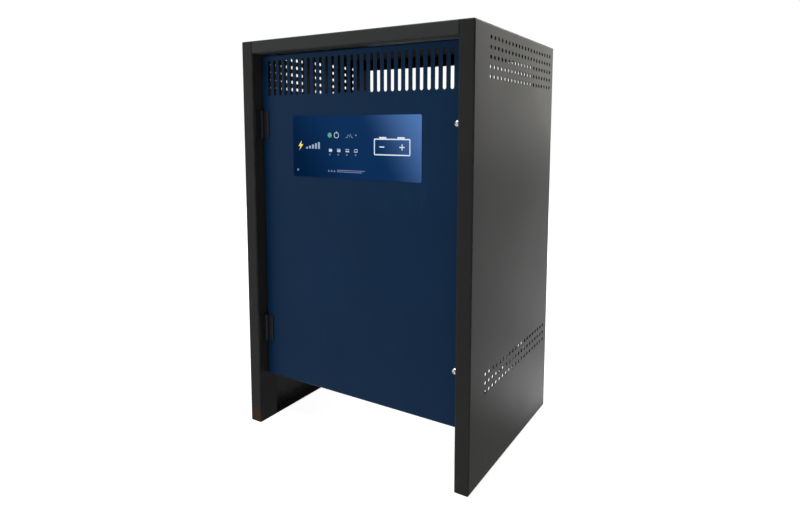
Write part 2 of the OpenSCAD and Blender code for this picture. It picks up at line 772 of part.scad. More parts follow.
// Leaf on the door, with the middle knuckle
module door_leaf(z) color(black_plastic) difference() {
    union() {
        difference() {
            translate([hinge_x, door_y - hinge_leaf_t, z - hinge_h / 2])
                cube([door_leaf_edge - hinge_x, hinge_leaf_t, hinge_h]);
            for (s = [-1, 1]) translate([hinge_x, hinge_y, z + s * hinge_h / 2])
                cylinder(r = knuckle_r + hinge_gap, h = 2 * hinge_third, center = true);
        }
        knuckle(z - hinge_third / 2, z + hinge_third / 2);
    }
    translate([hinge_x, hinge_y, z - hinge_h]) cylinder(r = hinge_pin_r + pin_clear, h = 2 * hinge_h);
    door_leaf_screws(z, true);
}

// Pin with a peened head at each end
module hinge_pin(z) color(steel) translate([hinge_x, hinge_y, z]) {
    cylinder(r = hinge_pin_r, h = hinge_h + 2 * hinge_leaf_t, center = true);
    for (s = [0, 1]) mirror([0, 0, s]) translate([0, 0, hinge_h / 2 + pin_clear])
        cylinder(r = 1.5 * hinge_pin_r, h = hinge_leaf_t / 2);
}

module upper_hinge_frame_leaf() frame_leaf(upper_hinge_z);
module lower_hinge_frame_leaf() frame_leaf(lower_hinge_z);
module upper_hinge_door_leaf() door_leaf(upper_hinge_z);
module lower_hinge_door_leaf() door_leaf(lower_hinge_z);
module hinge_pins() for (z = hinge_zs) hinge_pin(z);
module hinge_frame_screws() color(black_plastic) for (z = hinge_zs) frame_leaf_screws(z);
module hinge_door_screws() color(black_plastic) for (z = hinge_zs) door_leaf_screws(z);

// Control panel

module control_overlay() color("#1b4a80") difference() {
    translate([overlay_x, door_y - overlay_t / 2, overlay_z - overlay_h / 2]) along_y(overlay_t)
        soft_rect(-overlay_w / 2, overlay_w / 2, -overlay_h / 2, overlay_h / 2, overlay_r);
    rearward(power_lamp_x, door_y - overlay_t - cut, power_lamp_z,
        power_lamp_r + thread_clear, overlay_t + 2 * cut);
    for (x = state_lamp_xs)
        rearward(x, door_y - overlay_t - cut, state_lamp_z, state_lamp_r + thread_clear, overlay_t + 2 * cut);
}

module power_lamp() color("#3fb08a")
    rearward(power_lamp_x, lamp_y, power_lamp_z, power_lamp_r, board_y - lamp_y);

module state_lamps() color("#c9d2da") for (x = state_lamp_xs)
    rearward(x, lamp_y, state_lamp_z, state_lamp_r, board_y - lamp_y);

module control_board() color("#2f6b45") difference() {
    translate([-board_w / 2, board_y, board_z - board_h / 2]) cube([board_w, board_t, board_h]);
    for (p = spacer_spots) rearward(p[0], board_y - cut, p[1], board_screw_r + hole_clear, board_t + 2 * cut);
}

module board_spacers() color(zinc) for (p = spacer_spots) difference() {
    translate([p[0], door_back, p[1]]) rotate([-90, 0, 0]) cylinder(r = spacer_r, h = spacer_h, $fn = 6);
    rearward(p[0], door_back + spacer_h / 2, p[1], board_screw_r + thread_clear, spacer_h);
}

module board_screws() color(zinc) for (p = spacer_spots)
    translate([p[0], board_back, p[1]]) rotate([-90, 0, 0])
        button_screw(board_screw_r, board_t + spacer_h / 3);

module board_relays() color(black_plastic) for (i = [0 : relay_n - 1])
    translate([relay_x + i * relay_pitch, board_back, board_z + board_h / 8]) cube(relay_size);

// Pluggable screw terminal strips with wire funnels
module board_connectors() color("#3f8a4c") for (s = [-1, 1]) difference() {
    left = s * board_w / 4 - connector_size[0] / 2;
    translate([left, board_back, connector_z]) cube(connector_size);
    for (i = [0 : connector_ways - 1])
        rearward(left + (i + 0.5) * connector_size[0] / connector_ways, board_back + connector_size[1] / 2,
            connector_z + connector_size[2] / 2, connector_size[2] / 3, connector_size[1]);
}

module board_capacitors() color("#24303c") for (i = [0 : capacitor_n - 1])
    rearward(board_w / 5 + i * capacitor_pitch, board_back, board_z + board_h / 4,
        capacitor_size[0], capacitor_size[1]);

// Transformer

module transformer_core() color("#4a4c50") translate([0, core_y, core_z]) along_y(stack_d) difference() {
    translate([-core_w / 2, 0]) square([core_w, core_h]);
    for (s = [-1, 1]) translate([s * coil_pitch / 2 - core_window_w / 2, leg_w])
        square([core_window_w, core_window_h]);
}

// Plan of a coil part that wraps a leg with the given wall
module leg_wrap(wall, r)
    soft_rect(-leg_w / 2 - wall, leg_w / 2 + wall, -stack_d / 2 - wall, stack_d / 2 + wall, r);

module coil_formers() color("#c9b37a") for (i = [-1, 0, 1]) translate([i * coil_pitch, core_y, former_z])
    difference() {
        union() {
            linear_extrude(former_h) leg_wrap(former_clear + former_t, former_t);
            for (z = [0, former_h - former_t]) translate([0, 0, z]) linear_extrude(former_t)
                leg_wrap(coil_wall, winding_r);
        }
        translate([0, 0, -cut]) linear_extrude(former_h + 2 * cut) leg_wrap(former_clear, former_clear);
    }

module winding(i) color("#b98a3a") translate([i * coil_pitch, core_y, former_z + former_t + former_clear])
    linear_extrude(former_h - 2 * (former_t + former_clear)) difference() {
        leg_wrap(coil_wall - former_t, winding_r);
        leg_wrap(2 * former_clear + former_t, former_t);
    }

module left_winding() winding(-1);
module centre_winding() winding(0);
module right_winding() winding(1);

// Angle bar along a yoke at the front or rear, at the foot or the top of the core
module core_clamp(rear, upper) translate([0, core_y, core_z + core_h / 2])
    mirror([0, rear, 0]) mirror([0, 0, upper]) translate([0, -stack_d / 2, -core_h / 2]) difference() {
        along_x(clamp_l) {
            translate([-clamp_t, 0]) square([clamp_t, clamp_h]);
            translate([-clamp_t - clamp_foot, 0]) square([clamp_t + clamp_foot, clamp_t]);
        }
        for (s = [-1, 1]) {
            rearward(s * tie_x, -clamp_t - cut, clamp_h / 2, tie_bolt_r + hole_clear, clamp_t + 2 * cut);
            translate([s * foot_bolt_x, -clamp_t - clamp_foot / 2, -cut])
                cylinder(r = tie_bolt_r + hole_clear, h = clamp_t + 2 * cut);
        }
    }

module lower_clamps() color(zinc) for (rear = [0, 1]) core_clamp(rear, 0);
module upper_clamps() color(zinc) for (rear = [0, 1]) core_clamp(rear, 1);

module tie_bolts() color(steel) for (s = [-1, 1], z = tie_zs)
    translate([s * tie_x, core_y - tie_reach, z]) rotate([90, 0, 0])
        hex_bolt(tie_bolt_r, 2 * tie_reach + 2 * tie_head_h);

// Nuts of the tie bolts behind the core, and of the foot bolts under the tray
module transformer_nuts() color(steel) {
    for (s = [-1, 1], z = tie_zs) translate([s * tie_x, core_y + tie_reach, z]) rotate([-90, 0, 0])
        hex_nut(tie_bolt_r, tie_head_h, tie_head_r);
    for (p = foot_spots) translate([p[0], p[1], base_z]) mirror([0, 0, 1])
        hex_nut(tie_bolt_r, tie_head_h, tie_head_r);
}

module foot_pads() color(black_plastic) for (p = foot_spots) translate([p[0], p[1], tray_top]) difference() {
    cylinder(r = pad_r, h = pad_h);
    translate([0, 0, -cut]) cylinder(r = tie_bolt_r + hole_clear, h = pad_h + 2 * cut);
}

module foot_bolts() color(steel) for (p = foot_spots) translate([p[0], p[1], core_z + clamp_t])
    hex_bolt(tie_bolt_r, clamp_t + pad_h + tray_t + 2 * tie_head_h);

// Insulating strip on the front upper clamp
module terminal_board() color("#6b3f2a") difference() {
    translate([-terminal_board_w / 2, stud_y - clamp_foot / 2, core_top])
        cube([terminal_board_w, clamp_foot, terminal_board_t]);
    for (x = stud_xs) translate([x, stud_y, stud_z])
        cylinder(r = terminal_stud_r + thread_clear, h = terminal_board_t);
}

// Studs, each with a nut below its lug and a thicker one above
module terminal_studs() color("#c2a14a") for (x = stud_xs) {
    translate([x, stud_y, stud_z]) cylinder(r = terminal_stud_r, h = 3 * terminal_board_t);
    translate([x, stud_y, stud_lug_z - stud_nut_h]) cylinder(r = stud_nut_r, h = stud_nut_h, $fn = 6);
    translate([x, stud_y, stud_lug_z + lug_t]) cylinder(r = stud_nut_r, h = 2 * stud_nut_h, $fn = 6);
}

// Rectifier

// Plate between the side walls, with its side flanges folded to the front
module component_plate() color(zinc) difference() {
    translate([0, plate_y + sheet_t, plate_z]) mirror([0, 1, 0]) linear_extrude(plate_h) difference() {
        fold_rect(-plate_w / 2, plate_w / 2, 0, plate_flange, bend_r);
        fold_rect(-plate_w / 2 + sheet_t, plate_w / 2 - sheet_t, sheet_t, plate_flange + cut,
            bend_r - sheet_t);
    }
    translate([heat_sink_x, plate_y, heat_sink_z]) cube([heat_sink_w - 2 * heat_sink_border + fin_t,
        2 * (sheet_t + cut), heat_sink_h - 2 * heat_sink_border + fin_t], center = true);
    for (p = concat(sink_screw_spots, rail_screw_spots, fuse_screw_spots, shunt_screw_spots))
        rearward(p[0], plate_y - cut, p[1], plate_screw_r + thread_clear, sheet_t + 2 * cut);
}

// Base with straight fins that reach back through the plate
module heat_sink() color("#b9bcc0") difference() {
    fin_span = heat_sink_w - 2 * heat_sink_border - fin_t;
    fin_h = heat_sink_h - 2 * heat_sink_border;
    union() {
        translate([heat_sink_x - heat_sink_w / 2, heat_sink_front, heat_sink_z - heat_sink_h / 2])
            cube([heat_sink_w, heat_sink_t, heat_sink_h]);
        for (i = [0 : fin_count - 1])
            translate([heat_sink_x - (fin_span + fin_t) / 2 + i * fin_span / (fin_count - 1), plate_y - cut,
                heat_sink_z - fin_h / 2]) cube([fin_t, fin_l + cut, fin_h]);
    }
    for (p = sink_screw_spots)
        rearward(p[0], heat_sink_front - cut, p[1], plate_screw_r + hole_clear, heat_sink_t + 2 * cut);
}

// Block with a foot at each end and three screw terminals on its front
module diode_modules() color(black_plastic) for (x = module_xs) difference() {
    union() {
        translate([x - module_w / 2, heat_sink_front - module_base_d, heat_sink_z - module_h / 2])
            cube([module_w, module_base_d, module_h]);
        translate([x - module_w / 2, module_front, heat_sink_z - module_step / 2])
            cube([module_w, module_d, module_step]);
    }
    for (z = terminal_zs)
        rearward(x, module_front - cut, z, plate_screw_r + thread_clear, module_d / 2 + cut);
    for (s = [-1, 1]) rearward(x, heat_sink_front - module_base_d - cut,
        heat_sink_z + s * (module_h + module_step) / 4, plate_screw_r, module_base_d + 2 * cut);
}

// Bar across one row of terminals, with a tail to the right that ends in a lug hole
module busbar(z, tail) color(copper) difference() {
    translate([module_xs[0] - module_w / 2, busbar_front, z - busbar_h / 2])
        cube([2 * module_pitch + module_w + tail, busbar_t, busbar_h]);
    for (x = module_xs)
        rearward(x, busbar_front - cut, z, plate_screw_r + hole_clear, busbar_t + 2 * cut);
    rearward(tail_bolt_x(tail), busbar_front - cut, z, lug_bolt_r + hole_clear, busbar_t + 2 * cut);
}

module positive_busbar() busbar(terminal_zs[2], busbar_tail);
module negative_busbar() busbar(terminal_zs[1], short_tail);

// Screw through a piece whose front face is the given distance in front of the plate
module plate_screw(p, thick) translate([p[0], plate_y - thick, p[1]]) rotate([90, 0, 0])
    button_screw(plate_screw_r, thick + sheet_t + plate_screw_r);

// Screw with its head to the front at y, through a piece of the given thickness into the depth behind it
module front_screw(x, y, z, thick, depth)
    translate([x, y - thick, z]) rotate([90, 0, 0]) button_screw(plate_screw_r, thick + depth);

// Bolt and nut through a busbar's tail and the lug in front of it
module tail_bolt(x, z) {
    translate([x, busbar_front - lug_t, z]) rotate([90, 0, 0])
        hex_bolt(lug_bolt_r, lug_t + busbar_t + lug_bolt_r * hex_h_ratio + screw_end);
    translate([x, module_front, z]) rotate([-90, 0, 0])
        hex_nut(lug_bolt_r, lug_bolt_r * hex_h_ratio, lug_bolt_r * hex_r_ratio);
}

// Screws of the module terminals and of the fuse's blades, and the bolts of the busbars
module terminal_screws() color(steel) {
    for (x = module_xs, i = [0 : 2])
        front_screw(x, module_front, terminal_zs[i], i == 0 ? lug_t : busbar_t, module_d / 3);
    front_screw(fuse_mid_x - fuse_pitch / 2, fuse_front, fuse_mid_z, busbar_t + lug_t, fuse_base_d / 3);
    front_screw(fuse_mid_x + fuse_pitch / 2, fuse_front, fuse_mid_z, busbar_t, fuse_base_d / 3);
    tail_bolt(tail_bolt_x(busbar_tail), terminal_zs[2]);
    tail_bolt(tail_bolt_x(short_tail), terminal_zs[1]);
}

// Screws that hold the heat sink, rail, fuse base and shunt to the plate
module plate_screws() color(zinc) {
    for (p = sink_screw_spots) plate_screw(p, heat_sink_t);
    for (p = rail_screw_spots) plate_screw(p, rail_t);
    for (p = fuse_screw_spots) plate_screw(p, fuse_floor_t);
    plate_screw(shunt_screw_spots[0], plate_y - shunt_front + lug_t);
    plate_screw(shunt_screw_spots[1], plate_y - shunt_front);
}

// Switchgear

// Top hat rail
module mounting_rail() color(zinc) difference() {
    translate([rail_x + rail_l / 2, plate_y, rail_z]) along_x(rail_l) {
        translate([-rail_t, -rail_hat_w / 2]) square([rail_t, rail_hat_w]);
        for (s = [0, 1]) mirror([0, s]) {
            translate([-rail_depth, rail_hat_w / 2 - rail_t]) {
                square([rail_depth, rail_t]);
                square([rail_t, (rail_w - rail_hat_w) / 2 + rail_t]);
            }
        }
    }
    for (p = rail_screw_spots)
        rearward(p[0], plate_y - rail_t - cut, p[1], plate_screw_r + hole_clear, rail_t + 2 * cut);
}

// Cut in the back of a device that snaps on the rail
module rail_groove(x, w)
    translate([x - cut, plate_y - rail_depth - rail_clear, rail_z - rail_w / 2 - rail_clear])
        cube([w + 2 * cut, 2 * rail_depth, rail_w + 2 * rail_clear]);

// Device on the rail: a body with a step of the given height and depth above and below its front,
// and a row of round terminal recesses in each step
module rail_device(x, size, step, poles, recess_r) difference() {
    front = plate_y - rail_t - size[1];
    union() {
        translate([x, front, rail_z - size[2] / 2 + step[0]]) cube([size[0], size[1], size[2] - 2 * step[0]]);
        translate([x, front + step[1], rail_z - size[2] / 2]) cube([size[0], size[1] - step[1], size[2]]);
    }
    rail_groove(x, size[0]);
    for (i = [0 : poles - 1], s = [-1, 1])
        rearward(x + (i + 0.5) * size[0] / poles, front + step[1] - cut, rail_z + s * (size[2] - step[0]) / 2,
            recess_r, terminal_recess + cut);
}

module contactor() color("#d8dadb")
    rail_device(contactor_x, contactor_size, contactor_step, phases,
        pole_pitch / 3);

module fuse_holders() color("#e4e4e0") for (i = [0 : fuse_holder_n - 1])
    rail_device(holder_x + i * fuse_holder_size[0] + rail_clear / 2, fuse_holder_size - [rail_clear, 0, 0],
        holder_step, 1, fuse_holder_size[0] / 5);

module terminal_blocks() color("#9aa0a4") for (i = [0 : block_n - 1])
    rail_device(block_x + i * block_size[0] + rail_clear / 2, block_size - [rail_clear, 0, 0],
        block_step, 1, block_size[0] / 3);

// Insulating bases: for the fuse, with a raised seat at each end for its blades, and for the shunt
module battery_fuse_base() color("#7a2f24") {
    low = fuse_mid_z - fuse_base_size[1] / 2;
    seat_w = fuse_base_size[1] / 2;
    difference() {
        union() {
            translate([fuse_mid_x - fuse_base_size[0] / 2, plate_y - fuse_floor_t, low])
                cube([fuse_base_size[0], fuse_floor_t, fuse_base_size[1]]);
            for (s = [-1, 1]) translate([fuse_mid_x + s * fuse_pitch / 2 - seat_w / 2, fuse_front, low])
                cube([seat_w, fuse_base_d, fuse_base_size[1]]);
        }
        for (s = [-1, 1]) rearward(fuse_mid_x + s * fuse_pitch / 2, fuse_front - cut, fuse_mid_z,
            plate_screw_r + thread_clear, fuse_base_d / 2 + cut);
        for (p = fuse_screw_spots)
            rearward(p[0], fuse_front, p[1], plate_screw_r + hole_clear, fuse_base_d + cut);
    }
    difference() {
        translate([shunt_x, shunt_back, fuse_mid_z - shunt_block_size[2] / 2])
            cube([shunt_l, plate_y - shunt_back, shunt_block_size[2]]);
        for (p = shunt_screw_spots)
            rearward(p[0], shunt_back - cut, p[1], plate_screw_r + hole_clear,
                plate_y - shunt_back + 2 * cut);
    }
}

// Fuse body between two drilled blades
module battery_fuse() color("#d9d3c4") {
    blade_t = busbar_t;
    difference() {
        translate([fuse_mid_x - fuse_base_size[0] / 2, fuse_front - blade_t, fuse_mid_z - busbar_h / 2])
            cube([fuse_base_size[0], blade_t, busbar_h]);
        for (s = [-1, 1]) rearward(fuse_mid_x + s * fuse_pitch / 2, fuse_front - blade_t - cut, fuse_mid_z,
            plate_screw_r + hole_clear, blade_t + 2 * cut);
    }
    translate([fuse_mid_x, fuse_front - blade_t / 2, fuse_mid_z]) rotate([0, 90, 0])
        cylinder(r = fuse_body_size[1], h = fuse_body_size[0], center = true);
}

// Two end blocks joined by resistance strips
module shunt() color("#b08d4a") difference() {
    low = fuse_mid_z - shunt_block_size[2] / 2;
    strip_pitch = shunt_block_size[2] / shunt_strips;
    union() {
        for (x = [shunt_x, shunt_x + shunt_l - shunt_block_size[0]])
            translate([x, shunt_front, low]) cube(shunt_block_size);
        for (i = [0 : shunt_strips - 1])
            translate([shunt_x, shunt_front + shunt_block_size[1] / 4, low + (i + 0.5) * strip_pitch])
                cube([shunt_l, shunt_block_size[1] / 2, shunt_strip_t]);
    }
    for (p = shunt_screw_spots)
        rearward(p[0], shunt_front - cut, p[1], plate_screw_r + hole_clear, shunt_block_size[1] + 2 * cut);
}

// Leads

function unit(v) = v / norm(v);

// Angle that a path turns through at its point i, and the length that the bend takes off each run there
function turn(path, i) = acos(unit(path[i] - path[i - 1]) * unit(path[i + 1] - path[i]));
function trim(path, i, bend) = i == 0 || i == len(path) - 1 ? 0 : bend * tan(turn(path, i) / 2);

// Turns +Z into the direction d
module aim(d) {
    u = unit(cross(abs(d[2]) > 0.9 ? [1, 0, 0] : [0, 0, 1], d));
    v = cross(d, u);
    multmatrix([for (k = [0 : 2]) [u[k], v[k], d[k], 0]]) children();
}

// Round lead in straight runs, bent at each inner point of its path to twice its own diameter
module lead(path, r) {
    bend = 4 * r;
    for (i = [0 : len(path) - 2]) {
        d = unit(path[i + 1] - path[i]);
        from = path[i] + trim(path, i, bend) * d;
        translate(from) aim(d) cylinder(r = r, h = norm(path[i + 1] - from) - trim(path, i + 1, bend));
    }
    for (i = [1 : len(path) - 2]) {
        along = unit(path[i] - path[i - 1]);
        next = unit(path[i + 1] - path[i]);
        inward = unit(next - (next * along) * along);
        axis = cross(along, inward);
        middle = path[i] - trim(path, i, bend) * along + bend * inward;
        multmatrix([for (k = [0 : 2]) [-inward[k], along[k], axis[k], middle[k]]])
            rotate_extrude(angle = turn(path, i)) translate([bend, 0]) circle(r);
    }
}

// Lug with its hole at the origin, its seat on the XY plane and its barrel running to +X
module lug(hole_r, r) difference() {
    outer = r + lug_wall;
    union() {
        cylinder(r = max(outer, hole_r + 2 * lug_wall), h = lug_t);
        translate([0, -outer, 0]) cube([lug_palm, 2 * outer, lug_t]);
        translate([lug_palm, 0, outer]) rotate([0, 90, 0]) cylinder(r = outer, h = lug_barrel);
    }
    translate([0, 0, -cut]) cylinder(r = hole_r + hole_clear, h = lug_t + 2 * cut);
}

// Lug with its seat facing the rear at y, turned about Y so that its barrel runs right at 0 and down at 90
module front_lug(x, y, z, turned, hole_r, r)
    translate([x, y, z]) rotate([0, turned, 0]) rotate([90, 0, 0]) lug(hole_r, r);

module stud_lug(x) translate([x, stud_y, stud_lug_z]) rotate([0, 0, 90]) lug(terminal_stud_r, lead_r);

// Leads from the transformer's left studs to the modules, and from the contactor down to its right studs
module ac_leads() color(black_plastic) for (i = [0 : phases - 1]) {
    front_lug(module_xs[i], module_front, terminal_zs[0], 90, plate_screw_r, lead_r);
    stud_lug(low_stud_xs[i]);
    lead([[module_xs[i], lead_module_y, terminal_zs[0] - lug_palm],
        [module_xs[i], lead_module_y, lead_stud_z],
        [module_xs[i], lead_run_ys[i], lead_stud_z],
        [low_stud_xs[i], lead_run_ys[i], lead_stud_z],
        [low_stud_xs[i], stud_y + lug_palm, lead_stud_z]], lead_r);
    stud_lug(pole_xs[i]);
    lead([[pole_xs[i], pole_y + terminal_recess - hole_clear, pole_z],
        [pole_xs[i], pole_y - lead_reach, pole_z],
        [pole_xs[i], pole_y - lead_reach, lead_stud_z],
        [pole_xs[i], stud_y + lug_palm, lead_stud_z]], lead_r);
}

// Leads from the busbars to the battery fuse and to the shunt
module dc_leads() color("#7d1f1c") {
    plus_x = tail_bolt_x(busbar_tail);
    fuse_x = fuse_mid_x - fuse_pitch / 2;
    front_lug(plus_x, busbar_front, terminal_zs[2], 90, lug_bolt_r, dc_lead_r);
    front_lug(fuse_x, busbar_front, fuse_mid_z, 180, plate_screw_r, dc_lead_r);
    lead([[plus_x, dc_lead_y, terminal_zs[2] - lug_palm], [plus_x, dc_lead_y, fuse_mid_z],
        [fuse_x - lug_palm, dc_lead_y, fuse_mid_z]], dc_lead_r);
    minus_x = tail_bolt_x(short_tail);
    shunt_p = shunt_screw_spots[0];
    front_lug(minus_x, busbar_front, terminal_zs[1], 90, lug_bolt_r, dc_lead_r);
    front_lug(shunt_p[0], shunt_front, shunt_p[1], 90, plate_screw_r, dc_lead_r);
    lead([[minus_x, dc_lead_y, terminal_zs[1] - lug_palm], [minus_x, dc_lead_y, dc_run_z],
        [shunt_p[0], dc_lead_y, dc_run_z], [shunt_p[0], dc_lead_y, shunt_p[1] - lug_palm]], dc_lead_r);
}

// Glands and earth

module at_glands() for (x = gland_xs) translate([x, gland_y, base_z]) children();

// Hexagon under the tray, with a thread up through it and a thread down for the cap nut
module cable_glands() color(black_plastic) at_glands() difference() {
    union() {
        translate([0, 0, -gland_hex_h]) cylinder(r = gland_hex_r, h = gland_hex_h, $fn = 6);
        translate([0, 0, gland_foot]) cylinder(r = stub_r, h = -gland_foot);
        cylinder(r = gland_r, h = gland_top);
    }
    translate([0, 0, gland_foot - cut]) cylinder(r = gland_bore_r, h = gland_top - gland_foot + 2 * cut);
}

module gland_lock_nuts() color(black_plastic) at_glands() translate([0, 0, tray_t])
    hex_nut(gland_r, lock_nut_h, gland_hex_r);

// Cap nut with a hexagon grip and a tapered nose
module gland_cap_nuts() color(black_plastic) at_glands() translate([0, 0, cap_top]) mirror([0, 0, 1])
    difference() {
        union() {
            cylinder(r = gland_hex_r, h = cap_h, $fn = 6);
            translate([0, 0, cap_h]) cylinder(r1 = cap_root_r, r2 = cap_nose_r, h = cap_h);
        }
        translate([0, 0, -cut]) cylinder(r = stub_r + thread_clear, h = gland_stub_l + cut);
        cylinder(r = gland_bore_r + hole_clear, h = 2 * gland_stub_l);
    }

// Stud with its head under the tray and a nut above it
module earth_stud() color("#c2a14a") translate([earth_x, gland_y, base_z]) {
    mirror([0, 0, 1]) hex_bolt(earth_r, tray_t + 4 * earth_r);
    translate([0, 0, tray_t]) hex_nut(earth_r, hex_h_ratio * earth_r, hex_r_ratio * earth_r);
}

left_side_panel();
right_side_panel();
top_panel();
base_tray();
rear_cover();
rear_cover_screws();
screw_tabs();
door_tab_nuts();
upper_hinge_frame_leaf();
lower_hinge_frame_leaf();
hinge_pins();
hinge_frame_screws();
door_panel();
control_overlay();
upper_hinge_door_leaf();
lower_hinge_door_leaf();
hinge_door_screws();
door_screws();
screw_retainers();
power_lamp();
state_lamps();
control_board();
board_spacers();
board_screws();
board_relays();
board_connectors();
board_capacitors();
transformer_core();
coil_formers();
left_winding();
centre_winding();
right_winding();
lower_clamps();
upper_clamps();
tie_bolts();
foot_pads();
foot_bolts();
transformer_nuts();
terminal_board();
terminal_studs();
component_plate();
heat_sink();
diode_modules();
positive_busbar();
negative_busbar();
terminal_screws();
plate_screws();
mounting_rail();
contactor();
fuse_holders();
terminal_blocks();
battery_fuse_base();
battery_fuse();
shunt();
ac_leads();
dc_leads();
cable_glands();
gland_lock_nuts();
gland_cap_nuts();
earth_stud();
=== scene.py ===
"""Forklift battery charger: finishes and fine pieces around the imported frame."""
import json
import math

import bmesh
import bpy
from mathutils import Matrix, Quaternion, Vector


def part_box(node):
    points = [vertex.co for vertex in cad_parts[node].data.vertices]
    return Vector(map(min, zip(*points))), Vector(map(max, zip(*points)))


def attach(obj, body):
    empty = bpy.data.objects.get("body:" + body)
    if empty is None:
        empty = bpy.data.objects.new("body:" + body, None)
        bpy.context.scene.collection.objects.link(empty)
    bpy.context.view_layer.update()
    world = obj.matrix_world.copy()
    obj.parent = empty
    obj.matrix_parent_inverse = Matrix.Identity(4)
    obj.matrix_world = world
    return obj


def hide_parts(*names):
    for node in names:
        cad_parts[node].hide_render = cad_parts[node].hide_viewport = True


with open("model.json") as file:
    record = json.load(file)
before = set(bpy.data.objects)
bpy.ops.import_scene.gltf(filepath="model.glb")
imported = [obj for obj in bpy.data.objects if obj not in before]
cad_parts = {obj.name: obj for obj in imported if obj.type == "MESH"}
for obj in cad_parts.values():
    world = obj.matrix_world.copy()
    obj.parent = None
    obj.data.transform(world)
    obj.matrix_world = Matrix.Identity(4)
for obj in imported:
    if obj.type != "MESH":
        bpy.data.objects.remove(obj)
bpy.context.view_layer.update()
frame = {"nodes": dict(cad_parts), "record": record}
MM = 0.001


def srgb(red, green, blue):
    """An 8-bit screen colour as a linear one."""
    def linear(c):
        c = c / 255
        return c / 12.92 if c <= 0.04045 else ((c + 0.055) / 1.055) ** 2.4
    return linear(red), linear(green), linear(blue), 1.0


def grey(level):
    return level, level, level, 1.0


def dimmed(tone, share):
    return tuple(share * c for c in tone[:3]) + (1.0,)


# Node trees

def operator(operation, swapped=False):
    def apply(self, other):
        pair = (other, self) if swapped else (self, other)
        return self.nodes.node("ShaderNodeMath", {"operation": operation}, dict(enumerate(pair)))
    return apply


class Value:
    """A socket of a node tree; arithmetic on it adds Math nodes."""

    def __init__(self, nodes, socket):
        self.nodes, self.socket = nodes, socket

    __add__, __radd__ = operator("ADD"), operator("ADD", True)
    __sub__, __rsub__ = operator("SUBTRACT"), operator("SUBTRACT", True)
    __mul__, __rmul__ = operator("MULTIPLY"), operator("MULTIPLY", True)
    __truediv__, __rtruediv__ = operator("DIVIDE"), operator("DIVIDE", True)
    __pow__ = operator("POWER")
    __gt__, __lt__ = operator("GREATER_THAN"), operator("LESS_THAN")
    upper, wrap = operator("MAXIMUM"), operator("FLOORED_MODULO")

    def __abs__(self):
        return self.nodes.node("ShaderNodeMath", {"operation": "ABSOLUTE"}, {0: self})

    def ease(self, low, high):
        """0 at low and 1 at high, smooth between; falling where low is the larger."""
        return self.nodes.node("ShaderNodeMapRange", {"interpolation_type": "SMOOTHSTEP"},
                               {"Value": self, "From Min": low, "From Max": high})


class Nodes:
    """A node tree, with one way to add a node to it."""

    def __init__(self, tree):
        self.tree = tree

    def node(self, kind, settings=None, inputs=None, output=0):
        made = self.tree.nodes.new(kind)
        for name, value in (settings or {}).items():
            setattr(made, name, value)
        for name, value in (inputs or {}).items():
            self.join(value, made.inputs[name])
        return Value(self, made.outputs[output])

    def join(self, value, socket):
        if isinstance(value, Value):
            self.tree.links.new(value.socket, socket)
        else:
            socket.default_value = value

    def split(self, vector):
        first = self.node("ShaderNodeSeparateXYZ", inputs={0: vector})
        return [Value(self, s) for s in first.socket.node.outputs]


class Finish(Nodes):
    """A procedural material that reads Object coordinates, in metres of the charger's own frame."""

    def __init__(self, name, **fixed):
        self.material = bpy.data.materials.new(name)
        self.material.use_nodes = True
        super().__init__(self.material.node_tree)
        self.shader = self.tree.nodes["Principled BSDF"]
        self.where = self.node("ShaderNodeTexCoord", output="Object")
        self.x, self.y, self.z = self.split(self.where)
        self.feed(**fixed)

    def feed(self, **sockets):
        for name, value in sockets.items():
            self.join(value, self.shader.inputs[name.replace("_", " ")])

    def noise(self, size_mm, detail=2.0, stretch=None):
        place = self.where
        if stretch:
            place = self.node("ShaderNodeMapping", inputs={"Vector": place, "Scale": stretch})
        return self.node("ShaderNodeTexNoise", inputs={"Vector": place, "Scale": 1 / (size_mm * MM),
                                                       "Detail": detail})

    def cells(self, size_mm, output="Distance"):
        return self.node("ShaderNodeTexVoronoi", inputs={"Vector": self.where, "Scale": 1 / (size_mm * MM)},
                         output=output)

    def mix(self, share, first, second):
        return self.node("ShaderNodeMix", {"data_type": "RGBA"}, {0: share, 6: first, 7: second}, output=2)

    def relief(self, height, strength, depth_mm):
        self.feed(Normal=self.node("ShaderNodeBump", inputs={"Height": height, "Strength": strength,
                                                             "Distance": depth_mm * MM}))

    def inside(self, low, high):
        """1 within a box given in millimetres, else 0; None leaves a side open."""
        mask = None
        for axis, a, b in zip((self.x, self.y, self.z), low, high):
            past_low = [axis > a * MM] if a is not None else []
            short_of_high = [axis < b * MM] if b is not None else []
            for test in past_low + short_of_high:
                mask = test if mask is None else mask * test
        return mask


